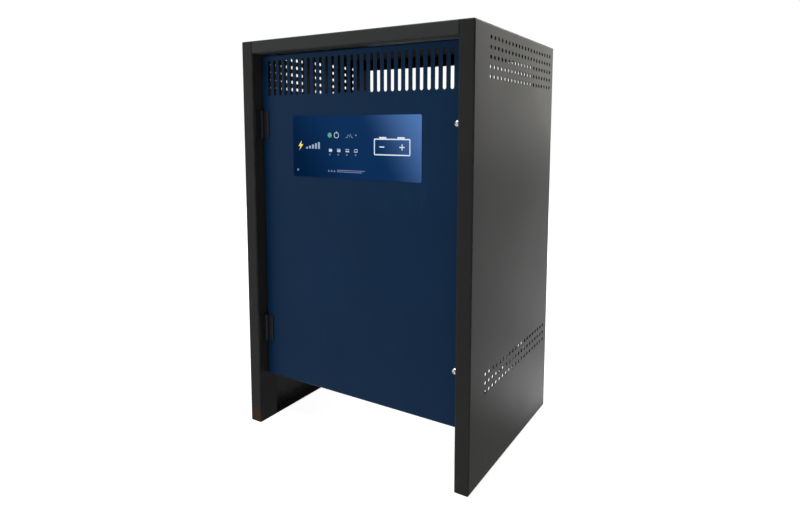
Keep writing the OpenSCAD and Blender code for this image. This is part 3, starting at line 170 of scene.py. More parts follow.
class Shape(Nodes):
    """A Geometry Nodes tree with named sizes."""

    kinds = {float: "NodeSocketFloat", int: "NodeSocketInt", tuple: "NodeSocketVector"}

    def __init__(self, name, **sizes):
        super().__init__(bpy.data.node_groups.new(name, "GeometryNodeTree"))
        self.sockets = {}
        for size, value in sizes.items():
            made = self.tree.interface.new_socket(size, in_out="INPUT", socket_type=self.kinds[type(value)])
            made.default_value = value
            self.sockets[size] = made.identifier
        made = self.tree.interface.new_socket("finish", in_out="INPUT", socket_type="NodeSocketMaterial")
        self.sockets["finish"] = made.identifier
        self.tree.interface.new_socket("shape", in_out="OUTPUT", socket_type="NodeSocketGeometry")
        source = self.tree.nodes.new("NodeGroupInput")
        self.size = {s.name: Value(self, s) for s in source.outputs if s.name}

    def end(self, shape):
        real = self.node("GeometryNodeRealizeInstances", inputs={0: shape})
        coated = self.node("GeometryNodeSetMaterial",
                           inputs={"Geometry": real, "Material": self.size["finish"]})
        out = self.tree.nodes.new("NodeGroupOutput")
        self.join(coated, out.inputs[0])

    def vector(self, x, y, z):
        return self.node("ShaderNodeCombineXYZ", inputs={0: x, 1: y, 2: z})

    def random(self, kind, low, high, seed):
        """A number drawn for each point, by the seed: FLOAT or INT."""
        first, second, output = {"FLOAT": (2, 3, 1), "INT": (4, 5, 2)}[kind]
        return self.node("FunctionNodeRandomValue", {"data_type": kind},
                         {first: low, second: high, "Seed": seed}, output)

    def make(self, name, body, slot, finish, **sizes):
        """The shape at these sizes as a plain mesh that rides on a body."""
        piece = bpy.data.objects.new(name, bpy.data.meshes.new(name))
        bpy.context.scene.collection.objects.link(piece)
        build = piece.modifiers.new("build", "NODES")
        build.node_group = self.tree
        for size, value in {**sizes, "finish": finish.material}.items():
            build[self.sockets[size]] = value
        bpy.context.view_layer.update()
        real = bpy.data.meshes.new_from_object(piece.evaluated_get(bpy.context.evaluated_depsgraph_get()))
        piece.modifiers.remove(build)
        piece.data = real
        real.name = name
        return settle(piece, body)


def settle(piece, body):
    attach(piece, body)
    return piece


def mesh_piece(name, build, finish, body, smooth=False):
    """A piece whose mesh is filled in by build(bm)."""
    mesh = bpy.data.meshes.new(name)
    bm = bmesh.new()
    build(bm)
    bmesh.ops.remove_doubles(bm, verts=bm.verts, dist=1e-7)
    bmesh.ops.recalc_face_normals(bm, faces=bm.faces)
    bm.to_mesh(mesh)
    bm.free()
    mesh.materials.append(finish.material)
    if smooth:
        mesh.shade_smooth()
    piece = bpy.data.objects.new(name, mesh)
    bpy.context.scene.collection.objects.link(piece)
    return settle(piece, body)


# Finishes

# Places on the cabinet's coat, as boxes in millimetres: the front of the left foot, the returns folded in
# from the front flanges, and the room inside the shell
LEFT_FOOT_FRONT = (-240, -190, None), (-206, -182.4, None)
FLANGE_RETURNS = (-214, -182.4, None), (214, -100, None)
SHELL_ROOM = (-238.4, -150, None), (238.4, 183.4, 739.4)


def cabinet_edges(f):
    """1 on the bends of the cabinet's posts, roof and flanges, else 0."""
    low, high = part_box("right_side_panel")
    opening_top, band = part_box("top_panel")[0].z, 2.6 * MM
    wide, deep = abs(f.x), abs(f.y)
    side, face, top = (v.ease(end - band, end) for v, end in ((wide, high.x), (deep, high.y), (f.z, high.z)))
    inner = abs(wide - low.x).ease(band, 0.0) * face * (f.z < opening_top)
    lip = abs(f.z - opening_top).ease(band, 0.0) * face * (wide < low.x)
    return (side * face).upper(side * top).upper(face * top).upper(inner).upper(lip)


def charcoal_coat(name, dark, pale):
    """Powder coat with rubbed bends that also carry a painted highlight, dust and a stain low down, and
    painted shade on the flange returns low down and inside the shell above the rear cover.
    """
    f = Finish(name, IOR=1.5, Specular_IOR_Level=0.05)
    painted_shade_tone = srgb(8, 9, 10)
    peel = f.noise(1.1, 3)
    drift = f.noise(180, 3).ease(0.3, 0.7)
    rub = f.noise(26, 5, (1, 1, 0.16)).ease(0.62, 0.8)
    scratch = f.noise(5, 2, (1, 1, 0.05)).ease(0.7, 0.74) * f.noise(60, 2).ease(0.55, 0.7)
    tone = f.mix(drift, dark, pale)
    tone = f.mix(rub * 0.08, tone, srgb(54, 54, 54))
    tone = f.mix(scratch * 0.15, tone, srgb(100, 100, 98))
    # Rubbed bends, paler where worn; the paling along the bends also serves as a painted highlight
    worn = cabinet_edges(f) * f.noise(9, 4).ease(0.42, 0.66)
    tone = f.mix(worn * 0.2, tone, srgb(84, 85, 86))
    dust = f.z.ease(0.06, 0.0) * f.noise(14, 4).ease(0.45, 0.75)
    tone = f.mix(dust * 0.3, tone, srgb(60, 56, 50))
    stain = f.inside(*LEFT_FOOT_FRONT) * f.z.ease(0.032, 0.02) * f.noise(7, 4).ease(0.3, 0.55)
    tone = f.mix(stain * 0.9, tone, srgb(60, 33, 17))
    # Painted shade: the returns folded in from the front flanges go near black towards their foot, in the
    # shade of the recess
    return_painted_shade = f.inside(*FLANGE_RETURNS) * f.z.ease(0.16, 0.06)
    tone = f.mix(return_painted_shade * 0.75, tone, painted_shade_tone)
    # Painted shade: inside the shell above the rear cover the coat goes near black and fully rough, where
    # little light reaches
    cover_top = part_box("rear_cover")[1].z
    thin = f.inside(*SHELL_ROOM) * f.z.ease(cover_top, cover_top + 0.02)
    tone = f.mix(thin * 0.8, tone, painted_shade_tone)
    f.feed(Base_Color=tone, Roughness=(0.44 + 0.05 * drift + 0.02 * rub + 0.2 * stain).upper(thin))
    f.relief(peel, 0.16, 0.12)
    return f


def navy_coat():
    """Powder coat with rubbed patches and worn upright edges."""
    f = Finish("navy_powder_coat", IOR=1.5, Specular_IOR_Level=0.05)
    door_half, band = 0.2118, 0.0023
    peel = f.noise(1.1, 3)
    drift = f.noise(150, 3).ease(0.3, 0.7)
    rub = f.noise(22, 5, (1, 1, 0.2)).ease(0.62, 0.76)
    tone = f.mix(drift, srgb(5, 32, 57), srgb(7, 34, 60))
    tone = f.mix(rub * 0.12, tone, srgb(28, 52, 80))
    edge = abs(f.x).ease(door_half - band, door_half) * f.noise(8, 4).ease(0.45, 0.7)
    tone = f.mix(edge * 0.3, tone, srgb(52, 72, 96))
    f.feed(Base_Color=tone, Roughness=0.45 + 0.05 * drift + 0.03 * rub)
    f.relief(peel, 0.16, 0.12)
    return f


def overlay_print_with_highlight():
    """Printed film, dark at the left, with a painted highlight that pales it towards the upper right."""
    f = Finish("overlay_film", IOR=1.5, Specular_IOR_Level=0.005)
    slant, middle_z = 0.6, 0.547
    across = f.x + slant * (f.z - middle_z)
    tone = f.mix(across.ease(-0.16, 0.0), srgb(0, 23, 52), srgb(9, 41, 79))
    # Painted highlight: a soft diagonal light paling the film from the middle towards the upper right
    tone = f.mix(across.ease(0.041, 0.208), tone, srgb(80, 118, 177))
    grain = f.noise(0.5, 2)
    f.feed(Base_Color=tone, Roughness=0.32 + 0.06 * grain)
    f.relief(grain, 0.06, 0.05)
    return f


def print_ink(name, tone):
    f = Finish(name, IOR=1.5)
    worn = f.noise(2.5, 4).ease(0.25, 0.6)
    f.feed(Base_Color=f.mix(worn, dimmed(tone, 0.75), tone), Roughness=0.38 + 0.1 * worn)
    return f


def black_enamel():
    f = Finish("black_hinge_enamel", IOR=1.5, Specular_IOR_Level=0.14)
    speck = f.noise(0.8, 3)
    worn = f.noise(4, 4).ease(0.6, 0.75)
    tone = f.mix(worn * 0.4, srgb(22, 23, 27), srgb(44, 44, 48))
    f.feed(Base_Color=tone, Roughness=0.46 + 0.16 * worn)
    f.relief(speck, 0.15, 0.08)
    return f


def zinc_plate():
    f = Finish("zinc_plated_sheet", Metallic=1.0)
    spangle = f.cells(9, "Color")
    level = f.split(spangle)[0]
    streak = f.noise(30, 4, (1, 1, 0.2))
    tone = f.mix(level * 0.6 + 0.3 * streak, srgb(150, 154, 156), srgb(196, 199, 200))
    dull = f.noise(50, 4).ease(0.5, 0.75)
    tone = f.mix(dull * 0.5, tone, srgb(140, 142, 140))
    f.feed(Base_Color=tone, Roughness=0.3 + 0.16 * level + 0.2 * dull)
    f.relief(f.noise(1.5, 3), 0.06, 0.05)
    return f


def bright_steel():
    f = Finish("bright_steel", Metallic=1.0)
    turned = f.noise(1.2, 4, (1, 6, 1))
    dull = f.noise(5, 3).ease(0.5, 0.8)
    tone = f.mix(dull, srgb(186, 188, 190), srgb(142, 140, 136))
    f.feed(Base_Color=tone, Roughness=0.22 + 0.12 * turned + 0.15 * dull)
    f.relief(turned, 0.08, 0.05)
    return f


def moulded(name, tone, worn_tone):
    """Moulded plastic with a fine spark-eroded grain."""
    f = Finish(name, IOR=1.47)
    grain = f.noise(0.6, 2)
    drift = f.noise(25, 3).ease(0.35, 0.7)
    f.feed(Base_Color=f.mix(drift, tone, worn_tone), Roughness=0.45 + 0.08 * grain + 0.06 * drift)
    f.relief(grain, 0.12, 0.06)
    return f


def lens(name, tone, glow):
    f = Finish(name, IOR=1.49, Emission_Strength=glow)
    ripple = f.noise(1.4, 2)
    bright = f.mix(ripple.ease(0.3, 0.7), dimmed(tone, 0.8), tone)
    f.feed(Base_Color=bright, Emission_Color=bright, Roughness=0.16 + 0.08 * ripple)
    f.relief(f.cells(0.9), 0.1, 0.1)
    return f


def solder_mask():
    """Green board with copper tracks under the mask, on the usual pin pitch."""
    f = Finish("solder_mask", IOR=1.5)
    pitch, half_track, soft = 0.00254, 0.0003, 0.0002

    def tracks(across):
        return abs(across.wrap(pitch) - pitch / 2).ease(half_track + soft, half_track)
    upright = tracks(f.x) * f.noise(16, 1, (1, 1, 0.25)).ease(0.5, 0.53)
    level = tracks(f.z) * f.noise(14, 1, (0.25, 1, 1)).ease(0.53, 0.56)
    copper = upright.upper(level)
    tone = f.mix(copper, srgb(14, 70, 40), srgb(34, 112, 60))
    f.feed(Base_Color=tone, Roughness=0.3 + 0.08 * f.noise(6, 3))
    f.relief(copper, 0.3, 0.06)
    return f


def capacitor_sleeve():
    """Dark sleeve with a pale stripe, and the bare metal top."""
    f = Finish("capacitor_sleeve", IOR=1.5)
    low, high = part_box("board_capacitors")
    pitch, top_rim = 0.0207, 0.0004
    top = f.y > high.y - top_rim
    wave = f.noise(3, 2)
    stripe = f.x.wrap(pitch).ease(0.0078, 0.0082) * (f.z > (low.z + high.z) / 2)
    tone = f.mix(stripe * 0.5, srgb(20, 28, 40), srgb(116, 124, 132))
    f.feed(Base_Color=f.mix(top, tone, srgb(190, 192, 194)), Metallic=top, Roughness=0.42 + 0.1 * wave)
    f.relief(wave, 0.08, 0.05)
    return f


def lamination_steel():
    f = Finish("core_lamination_steel", Metallic=0.6)
    sheets_per_metre = 2000
    depth = f.y * sheets_per_metre
    sheet = f.node("ShaderNodeTexWhiteNoise", {"noise_dimensions": "1D"}, {"W": depth - depth.wrap(1.0)})
    rust = f.noise(9, 5).ease(0.56, 0.72)
    varnish = f.noise(35, 3).ease(0.35, 0.7)
    tone = f.mix(sheet * 0.5, srgb(66, 68, 72), srgb(94, 95, 98))
    tone = f.mix(varnish * 0.35, tone, srgb(92, 74, 52))
    tone = f.mix(rust * 0.45, tone, srgb(98, 60, 38))
    f.feed(Base_Color=tone, Roughness=0.38 + 0.2 * rust + 0.1 * sheet)
    f.relief(f.noise(1.2, 3), 0.1, 0.05)
    return f


def pressboard():
    f = Finish("former_pressboard", IOR=1.45)
    fibre = f.noise(2.2, 5, (1, 1, 5))
    tone = f.mix(fibre.ease(0.3, 0.7), srgb(170, 138, 82), srgb(206, 180, 122))
    f.feed(Base_Color=tone, Roughness=0.62 + 0.15 * fibre)
    f.relief(fibre, 0.25, 0.1)
    return f


def enamel_wire():
    f = Finish("enamelled_copper_wire", Metallic=0.85)
    drift = f.noise(30, 2, (1, 1, 8))
    dark = f.noise(70, 3).ease(0.4, 0.8)
    tone = f.mix(drift.ease(0.3, 0.7), srgb(142, 76, 36), srgb(166, 94, 48))
    f.feed(Base_Color=f.mix(dark * 0.4, tone, srgb(110, 58, 30)), Roughness=0.3 + 0.14 * drift)
    f.relief(f.noise(0.6, 2), 0.05, 0.03)
    return f


def woven_tape():
    f = Finish("woven_glass_tape", IOR=1.45)
    threads_per_metre = 900
    warp = abs((f.z * threads_per_metre).wrap(1.0) - 0.5)
    weft = abs(((f.x + f.y) * threads_per_metre).wrap(1.0) - 0.5)
    weave = warp.upper(weft)
    soil = f.noise(16, 4).ease(0.4, 0.75)
    tone = f.mix(soil * 0.6, srgb(214, 206, 184), srgb(178, 156, 112))
    f.feed(Base_Color=tone, Roughness=0.7 + 0.15 * weave)
    f.relief(weave, 0.4, 0.2)
    return f


def soft_rubber(name, tone):
    f = Finish(name, IOR=1.5)
    dust = f.noise(11, 4).ease(0.45, 0.8)
    f.feed(Base_Color=f.mix(dust * 0.3, tone, srgb(88, 86, 82)), Roughness=0.58 + 0.2 * dust)
    f.relief(f.noise(0.7, 3), 0.15, 0.08)
    return f


def laminate():
    f = Finish("phenolic_laminate", IOR=1.5)
    layers_per_metre = 1200
    layer = abs((f.y * layers_per_metre).wrap(1.0) - 0.5)
    mottle = f.noise(6, 5).ease(0.3, 0.7)
    tone = f.mix(mottle, srgb(84, 40, 24), srgb(122, 64, 36))
    f.feed(Base_Color=f.mix(layer * 0.3, tone, srgb(64, 30, 18)), Roughness=0.36 + 0.14 * mottle)
    f.relief(layer + mottle, 0.1, 0.05)
    return f


def coloured_metal(name, light, dark, rough, stretch):
    f = Finish(name, Metallic=1.0)
    drawn = f.noise(2.5, 4, stretch)
    tarnish = f.noise(18, 4).ease(0.45, 0.75)
    f.feed(Base_Color=f.mix(tarnish * 0.7, light, dark), Roughness=rough + 0.14 * drawn + 0.14 * tarnish)
    f.relief(drawn, 0.1, 0.05)
    return f


def fuse_body():
    """Ceramic barrel with metal caps between tinned blades."""
    f = Finish("fuse_ceramic")
    low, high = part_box("battery_fuse")
    barrel_half, ceramic_half = 0.0242, 0.0195
    from_middle = abs(f.x - (low.x + high.x) / 2)
    barrel = from_middle < barrel_half
    cap = (from_middle > ceramic_half) * barrel
    metal = (1 - barrel).upper(cap)
    speck = f.noise(3, 4)
    tone = f.mix(speck, srgb(214, 206, 188), srgb(232, 226, 212))
    f.feed(Base_Color=f.mix(metal, tone, srgb(186, 180, 168)), Metallic=metal, Roughness=0.34 + 0.2 * speck)
    f.relief(speck, 0.08, 0.05)
    return f


def shunt_metal():
    """Brass blocks with darker resistance strips between them."""
    f = Finish("shunt_metal", Metallic=1.0)
    low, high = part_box("shunt")
    strip_half = 0.0149
    strip = abs(f.x - (low.x + high.x) / 2) < strip_half
    brushed = f.noise(2, 4, (0.3, 1, 1))
    f.feed(Base_Color=f.mix(strip, srgb(196, 164, 92), srgb(150, 104, 76)), Roughness=0.26 + 0.2 * brushed)
    f.relief(brushed, 0.1, 0.05)
    return f


def lead_insulation(name, lugs, first, second, share=None):
    """Insulated lead with tinned lugs inside the boxes; share(f), or else noise, mixes its two tones."""
    f = Finish(name, IOR=1.48)
    lug = None
    for low, high in lugs:
        mask = f.inside(low, high)
        lug = mask if lug is None else lug.upper(mask)
    dull = f.noise(9, 3)
    tone = f.mix(share(f) if share else dull, first, second)
    f.feed(Base_Color=f.mix(lug, tone, srgb(176, 176, 172)), Metallic=lug,
           Roughness=0.44 - 0.1 * lug + 0.12 * dull)
    f.relief(f.noise(0.9, 2), 0.08, 0.05)
    return f


# Lead lugs, as boxes in millimetres: on the transformer's studs, on the modules' lower terminals, and at
# both ends of the positive and the negative battery lead; then the run of the positive lead
STUD_LUGS = ((-130, -72, 342), (110, -31.5, 356))
MODULE_LUGS = ((-180, 46, 451.5), (-45, 58, 490))
PLUS_LUGS = ((-21, 41, 501.5), (-7, 58, 545)), ((11.5, 41, 437), (60, 58, 453))
MINUS_LUGS = ((-36, 41, 476.5), (-22, 58, 516)), ((140, 41, 413.5), (160, 58, 455))
PLUS_RUN = (-21.5, None, 430), (60, None, 560)


def negative_lead(f):
    """0 on the positive lead, 1 on the negative one."""
    return 1 - f.inside(*PLUS_RUN)


def make_finishes():
    """The finish of each material slot of the record."""
    return {
        "charcoal_paint": charcoal_coat("charcoal_powder_coat", srgb(30, 30, 30), srgb(34, 34, 33)),
        "navy_paint": navy_coat(),
        "overlay_film": overlay_print_with_highlight(),
        "black_hinge": black_enamel(),
        "black_plastic": moulded("black_moulding", srgb(24, 24, 26), srgb(36, 36, 38)),
        "zinc_steel": zinc_plate(),
        "steel_fastener": bright_steel(),
        "green_lens": lens("green_lens", srgb(46, 138, 108), 0.06),
        "clear_lens": lens("clear_lens", srgb(74, 92, 122), 0.0),
        "board_green": solder_mask(),
        "connector_green": moulded("connector_green", srgb(48, 128, 70), srgb(62, 142, 82)),
        "capacitor_sleeve": capacitor_sleeve(),
        "core_steel": lamination_steel(),
        "former_board": pressboard(),
        "winding": enamel_wire(),
        "pad_rubber": soft_rubber("pad_rubber", srgb(30, 30, 30)),
        "lead_rubber": lead_insulation("lead_insulation", (STUD_LUGS, MODULE_LUGS),
                                       srgb(24, 24, 26), srgb(40, 40, 42)),
        "phenolic": laminate(),
        "brass_parts": coloured_metal("brass", srgb(206, 172, 96), srgb(140, 108, 60), 0.24, (1, 1, 0.3)),
        "copper_bar": coloured_metal("copper_bar", srgb(198, 120, 78), srgb(126, 72, 46), 0.26, (0.2, 1, 1)),
        "sink_aluminium": coloured_metal("extruded_aluminium", srgb(196, 198, 202), srgb(150, 153, 158), 0.3,
                                         (1, 1, 0.05)),
        "grey_plastic": moulded("pale_grey_moulding", srgb(196, 198, 198), srgb(208, 210, 208)),
        "block_grey": moulded("grey_moulding", srgb(132, 140, 146), srgb(146, 152, 158)),
        "fuse_ceramic": fuse_body(),
    }


finishes = make_finishes()
for part in frame["record"]["subparts"]:
    mesh = frame["nodes"][part["node"]].data
    mesh.materials.clear()
    mesh.materials.append(finishes[part["material_slot"]].material)

# Nodes whose look differs from the rest of their slot
own_finishes = {
    # Painted light: the roof gets a paler copy of the charcoal coat, standing for the light its front flange
    # catches from above
    "top_panel": charcoal_coat("roof_powder_coat", srgb(40, 41, 41), srgb(44, 46, 46)),
    "shunt": shunt_metal(),
    "dc_leads": lead_insulation("battery_lead_insulation", PLUS_LUGS + MINUS_LUGS,
                                srgb(132, 28, 24), srgb(26, 26, 28), negative_lead),
    "hinge_pins": finishes["black_hinge"],
}
for node, finish in own_finishes.items():
    frame["nodes"][node].data.materials[0] = finish.material


# Pieces that repeat: windings, laminations, board parts

SQUARENESS = 9.0  # power of the coils' outline: 2 would be an ellipse, more is nearer to a rectangle


def wound_layer():
    """A layer of wire in even turns round a leg, on a path like a rectangle with round corners."""
    s = Shape("wound_layer", half_width=0.045, half_depth=0.06, squareness=SQUARENESS, turns=60.0,
              height=0.14, wire_radius=0.001, middle=(0.0, 0.0, 0.0))
    spiral = s.node("GeometryNodeCurveSpiral", inputs={
        "Resolution": 64, "Rotations": s.size["turns"], "Start Radius": 1.0, "End Radius": 1.0,
        "Height": s.size["height"]})
    x, y, z = s.split(s.node("GeometryNodeInputPosition"))
    power = s.size["squareness"]
    share_x, share_y = abs(x) / s.size["half_width"], abs(y) / s.size["half_depth"]
    reach = (share_x ** power + share_y ** power) ** (-1 / power)
    mx, my, mz = s.split(s.size["middle"])
    path = s.node("GeometryNodeSetPosition", inputs={
        "Geometry": spiral, "Position": s.vector(x * reach + mx, y * reach + my, z + mz)})
    section = s.node("GeometryNodeCurvePrimitiveCircle",
                     inputs={"Resolution": 6, "Radius": s.size["wire_radius"]})
    wire = s.node("GeometryNodeCurveToMesh",
                  inputs={"Curve": path, "Profile Curve": section, "Fill Caps": True})
    s.end(s.node("GeometryNodeSetShadeSmooth", inputs={"Geometry": wire}))
    return s


def lamination_stack():
    """Sheets of a three-legged core, each of two yokes and three legs, stacked unevenly along Y."""
    s = Shape("lamination_stack", width=0.24, height=0.23, leg=0.04, depth=0.07, sheets=116, gap=0.00012,
              unevenness=0.00012, middle=(0.0, 0.0, 0.0), seed=7)
    joint = 0.0002
    leg, height, width, uneven = (s.size[name] for name in ("leg", "height", "width", "unevenness"))
    pitch = s.size["depth"] / s.size["sheets"]
    thick = pitch - s.size["gap"]
    tall = height - 2 * leg - joint
    bars = [(s.vector(width, thick, leg), s.vector(0.0, 0.0, (height - leg) / 2)),
            (s.vector(width, thick, leg), s.vector(0.0, 0.0, (leg - height) / 2))]
    bars += [(s.vector(leg, thick, tall), s.vector((width - leg) / 2 * side, 0.0, 0.0))
             for side in (-1, 0, 1)]
    joined = s.tree.nodes.new("GeometryNodeJoinGeometry")
    for size, place in bars:
        bar_mesh = s.node("GeometryNodeMeshCube", inputs={"Size": size})
        placed = s.node("GeometryNodeTransform", inputs={"Geometry": bar_mesh, "Translation": place})
        s.join(placed, joined.inputs[0])
    line = s.node("GeometryNodeMeshLine", inputs={
        "Count": s.size["sheets"], "Start Location": s.vector(0.0, (pitch - s.size["depth"]) / 2, 0.0),
        "Offset": s.vector(0.0, pitch, 0.0)})
    off = s.node("FunctionNodeRandomValue", {"data_type": "FLOAT_VECTOR"}, {
        "Min": s.vector(-1 * uneven, 0.0, -1 * uneven), "Max": s.vector(uneven, 0.0, uneven),
        "Seed": s.size["seed"]})
    line = s.node("GeometryNodeSetPosition", inputs={"Geometry": line, "Offset": off})
    stack = s.node("GeometryNodeInstanceOnPoints",
                   inputs={"Points": line, "Instance": Value(s, joined.outputs[0])})
    s.end(s.node("GeometryNodeTransform", inputs={"Geometry": stack, "Translation": s.size["middle"]}))
    return s


def scattered_parts():
    """Small square parts on an upright grid that faces the rear, some places left empty."""
    s = Shape("scattered_parts", width=0.1, height=0.05, columns=20, rows=10, part=(0.003, 0.0012, 0.0015),
              filled=0.5, middle=(0.0, 0.0, 0.0), seed=3)
    seed, quarter_turn = s.size["seed"], math.pi / 2
    grid = s.node("GeometryNodeMeshGrid", inputs={
        "Size X": s.size["width"], "Size Y": s.size["height"], "Vertices X": s.size["columns"],
        "Vertices Y": s.size["rows"]})
    upright = s.node("GeometryNodeTransform", inputs={
        "Geometry": grid, "Rotation": (quarter_turn, 0.0, 0.0), "Translation": s.size["middle"]})
    draw = s.random("FLOAT", 0.0, 1.0, seed)
    block = s.node("GeometryNodeMeshCube", inputs={"Size": s.size["part"]})
    quarters = s.random("INT", 0, 1, seed + 1)
    size = s.random("FLOAT", 0.7, 1.4, seed + 2)
    s.end(s.node("GeometryNodeInstanceOnPoints", inputs={
        "Points": upright, "Selection": draw < s.size["filled"], "Instance": block,
        "Rotation": s.vector(0.0, quarters * quarter_turn, 0.0), "Scale": size}))
    return s


def round_wall(bm, outer, inner, z0, z1, middle, steps=96):
    """A closed ring round a coil's leg between two heights, from its outer and inner half sizes."""
    def loop(half, z):
        points = []
        for i in range(steps):
            a = 2 * math.pi * i / steps
            c, s = math.cos(a), math.sin(a)
            reach = (abs(c / half[0]) ** SQUARENESS + abs(s / half[1]) ** SQUARENESS) ** (-1 / SQUARENESS)
            points.append(bm.verts.new((middle.x + c * reach, middle.y + s * reach, z)))
        return points
    rings = [loop(outer, z0), loop(outer, z1), loop(inner, z1), loop(inner, z0)]
    for a, b in zip(rings, rings[1:] + rings[:1]):
        for i in range(steps):
            j = (i + 1) % steps
            bm.faces.new((a[i], a[j], b[j], b[i]))


def add_windings():
    layer, tape = wound_layer(), woven_tape()
    wire, end_margin, wire_inset = 1.15 * MM, 5 * MM, 1.2 * MM
    turn_pitch = 2.04 * wire
    paper_inset, paper_bore = 3 * MM, 24 * MM
    tape_inset, tape_back, tape_half = 0.3 * MM, 1.4 * MM, 9 * MM
    for node in ("left_winding", "centre_winding", "right_winding"):
        low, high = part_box(node)
        half, middle = (high - low) / 2, (high + low) / 2
        turns = math.floor((high.z - low.z - 2 * end_margin) / turn_pitch)
        coil = layer.make(node + "_turns", "cabinet", "winding", finishes["winding"],
                          half_width=half.x - wire_inset - wire, half_depth=half.y - wire_inset - wire,
                          turns=float(turns), height=turns * turn_pitch, wire_radius=wire,
                          middle=(middle.x, middle.y, low.z + end_margin))
        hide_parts(node)

        def ring(bm, inset, back, z0, z1):
            round_wall(bm, (half.x - inset, half.y - inset), (half.x - back, half.y - back), z0, z1, middle)

        def paper(bm):
            ring(bm, paper_inset, paper_bore, low.z, high.z)
        mesh_piece(node + "_paper", paper, finishes["former_board"], "cabinet", True)

        def bands(bm):
            for share in (0.2, 0.8):
                at = low.z + share * (high.z - low.z)
                ring(bm, tape_inset, tape_back, at - tape_half, at + tape_half)
        mesh_piece(node + "_tape", bands, tape, "cabinet", True)


def add_core():
    low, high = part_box("transformer_core")
    core = lamination_stack().make("core_laminations", "cabinet", "core_steel", finishes["core_steel"],
                                   width=high.x - low.x, height=high.z - low.z, depth=high.y - low.y,
                                   middle=tuple((low + high) / 2))
    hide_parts("transformer_core")


def add_board_parts():
    """Chips and ceramics on the board's rear face, solder on its front face."""
    low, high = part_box("control_board")
    parts = scattered_parts()
    middle = (low + high) / 2
    parts.make("board_chips", "door", "black_plastic", finishes["black_plastic"], width=0.15, height=0.02,
               columns=16, rows=3, part=(0.0052, 0.0016, 0.0038), filled=0.55,
               middle=(middle.x, high.y + 0.0005, middle.z - 0.002), seed=5)
    parts.make("board_ceramics", "door", "brass_parts", finishes["brass_parts"], width=0.17, height=0.02,
               columns=30, rows=4, part=(0.002, 0.0009, 0.0012), filled=0.4,
               middle=(middle.x, high.y + 0.0004, middle.z + 0.035), seed=9)
    parts.make("board_solder", "door", "steel_fastener", finishes["steel_fastener"], width=0.18, height=0.075,
               columns=48, rows=18, part=(0.0011, 0.0005, 0.0011), filled=0.3,
               middle=(middle.x, low.y - 0.0002, middle.z), seed=11)


# Flat shapes on faces that look to the front: outlines are in X and Z millimetres

OVERLAY_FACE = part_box("control_overlay")[0].y
INK = 0.04 * MM
CORNER_STEPS = 6


def lay(bm, outline, holes=(), face=OVERLAY_FACE, thick=INK):
    """A flat shape from an outline, laid on a face, with a little thickness."""
    edges = []
    for points in (outline, *holes):
        verts = [bm.verts.new((x * MM, face, z * MM)) for x, z in points]
        edges += [bm.edges.new((a, b)) for a, b in zip(verts, verts[1:] + verts[:1])]
    filled = bmesh.ops.triangle_fill(bm, edges=edges, use_beauty=True)["geom"]
    flat = [g for g in filled if isinstance(g, bmesh.types.BMFace)]
    raised = bmesh.ops.extrude_face_region(bm, geom=flat)["geom"]
    front = [v for v in raised if isinstance(v, bmesh.types.BMVert)]
    bmesh.ops.translate(bm, vec=(0, -thick, 0), verts=front)


def arc(x, z, r, start, end, steps=40):
    turn = [math.radians(start + (end - start) * i / steps) for i in range(steps + 1)]
    return [(x + r * math.cos(a), z + r * math.sin(a)) for a in turn]


def bar(x0, z0, x1, z1):
    return [(x0, z0), (x1, z0), (x1, z1), (x0, z1)]


def soft_bar(x0, z0, x1, z1, r):
    """A bar with round corners."""
    corners = (x1 - r, z1 - r), (x0 + r, z1 - r), (x0 + r, z0 + r), (x1 - r, z0 + r)
    return [point for i, (x, z) in enumerate(corners)
            for point in arc(x, z, r, 90 * i, 90 * i + 90, CORNER_STEPS)]


def boss(bm, x0, z0, x1, z1, corner, face, height, draft):
    """A moulded boss with round corners and drafted sides."""
    low, high = ([bm.verts.new((x * MM, y, z * MM))
                  for x, z in soft_bar(x0 + i, z0 + i, x1 - i, z1 - i, corner)]
                 for y, i in ((face, 0.0), (face - height, draft)))
    bm.faces.new(low)
    bm.faces.new(high)
    for i in range(len(low)):
        bm.faces.new((low[i - 1], low[i], high[i], high[i - 1]))


def stroke(points, width):
    """Outline of a line through the points."""
    def sides(sign):
        out = []
        for i, p in enumerate(points):
            a, b = points[max(i - 1, 0)], points[min(i + 1, len(points) - 1)]
            d = Vector((b[0] - a[0], b[1] - a[1])).normalized()
            out.append((p[0] - sign * d.y * width / 2, p[1] + sign * d.x * width / 2))
        return out
    return sides(1) + sides(-1)[::-1]


# Moulded fronts of the contactor and the fuse holders

def contactor_cover(bm):
    """A front plate with a window for the slider, and a row of ribs at its upper and lower end."""
    low, high = (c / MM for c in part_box("contactor"))
    x, z, face = (low.x + high.x) / 2, (low.z + high.z) / 2, low.y * MM
    step, rim, window, plate = 14.0, 2.5, 9.0, 1.4 * MM
    lay(bm, soft_bar(low.x + rim, low.z + step + rim, high.x - rim, high.z - step - rim, 2.0),
        [soft_bar(x - window, z - window, x + window, z + window, 1.5)], face, plate)
    ribs, pitch, wide, tall, inset = 10, 3.7, 1.7, 8.0, 4.5
    for i in range(ribs):
        rib = low.x + 2 * rim + pitch * i
        for end in (low.z + step + inset, high.z - step - inset - tall):
            boss(bm, rib, end, rib + wide, end + tall, 0.4, face - plate, 0.9 * MM, 0.25)


def contactor_slider(bm):
    """A square button with four grip ribs."""
    low, high = (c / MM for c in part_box("contactor"))
    x, z, face = (low.x + high.x) / 2, (low.z + high.z) / 2, low.y * MM
    half, height = 8.0, 2.4 * MM
    boss(bm, x - half, z - half, x + half, z + half, 1.2, face, height, 0.6)
    for i in range(4):
        grip = z - 5.5 + 3.2 * i
        boss(bm, x - 6, grip, x + 6, grip + 1.4, 0.4, face - height, 0.8 * MM, 0.25)


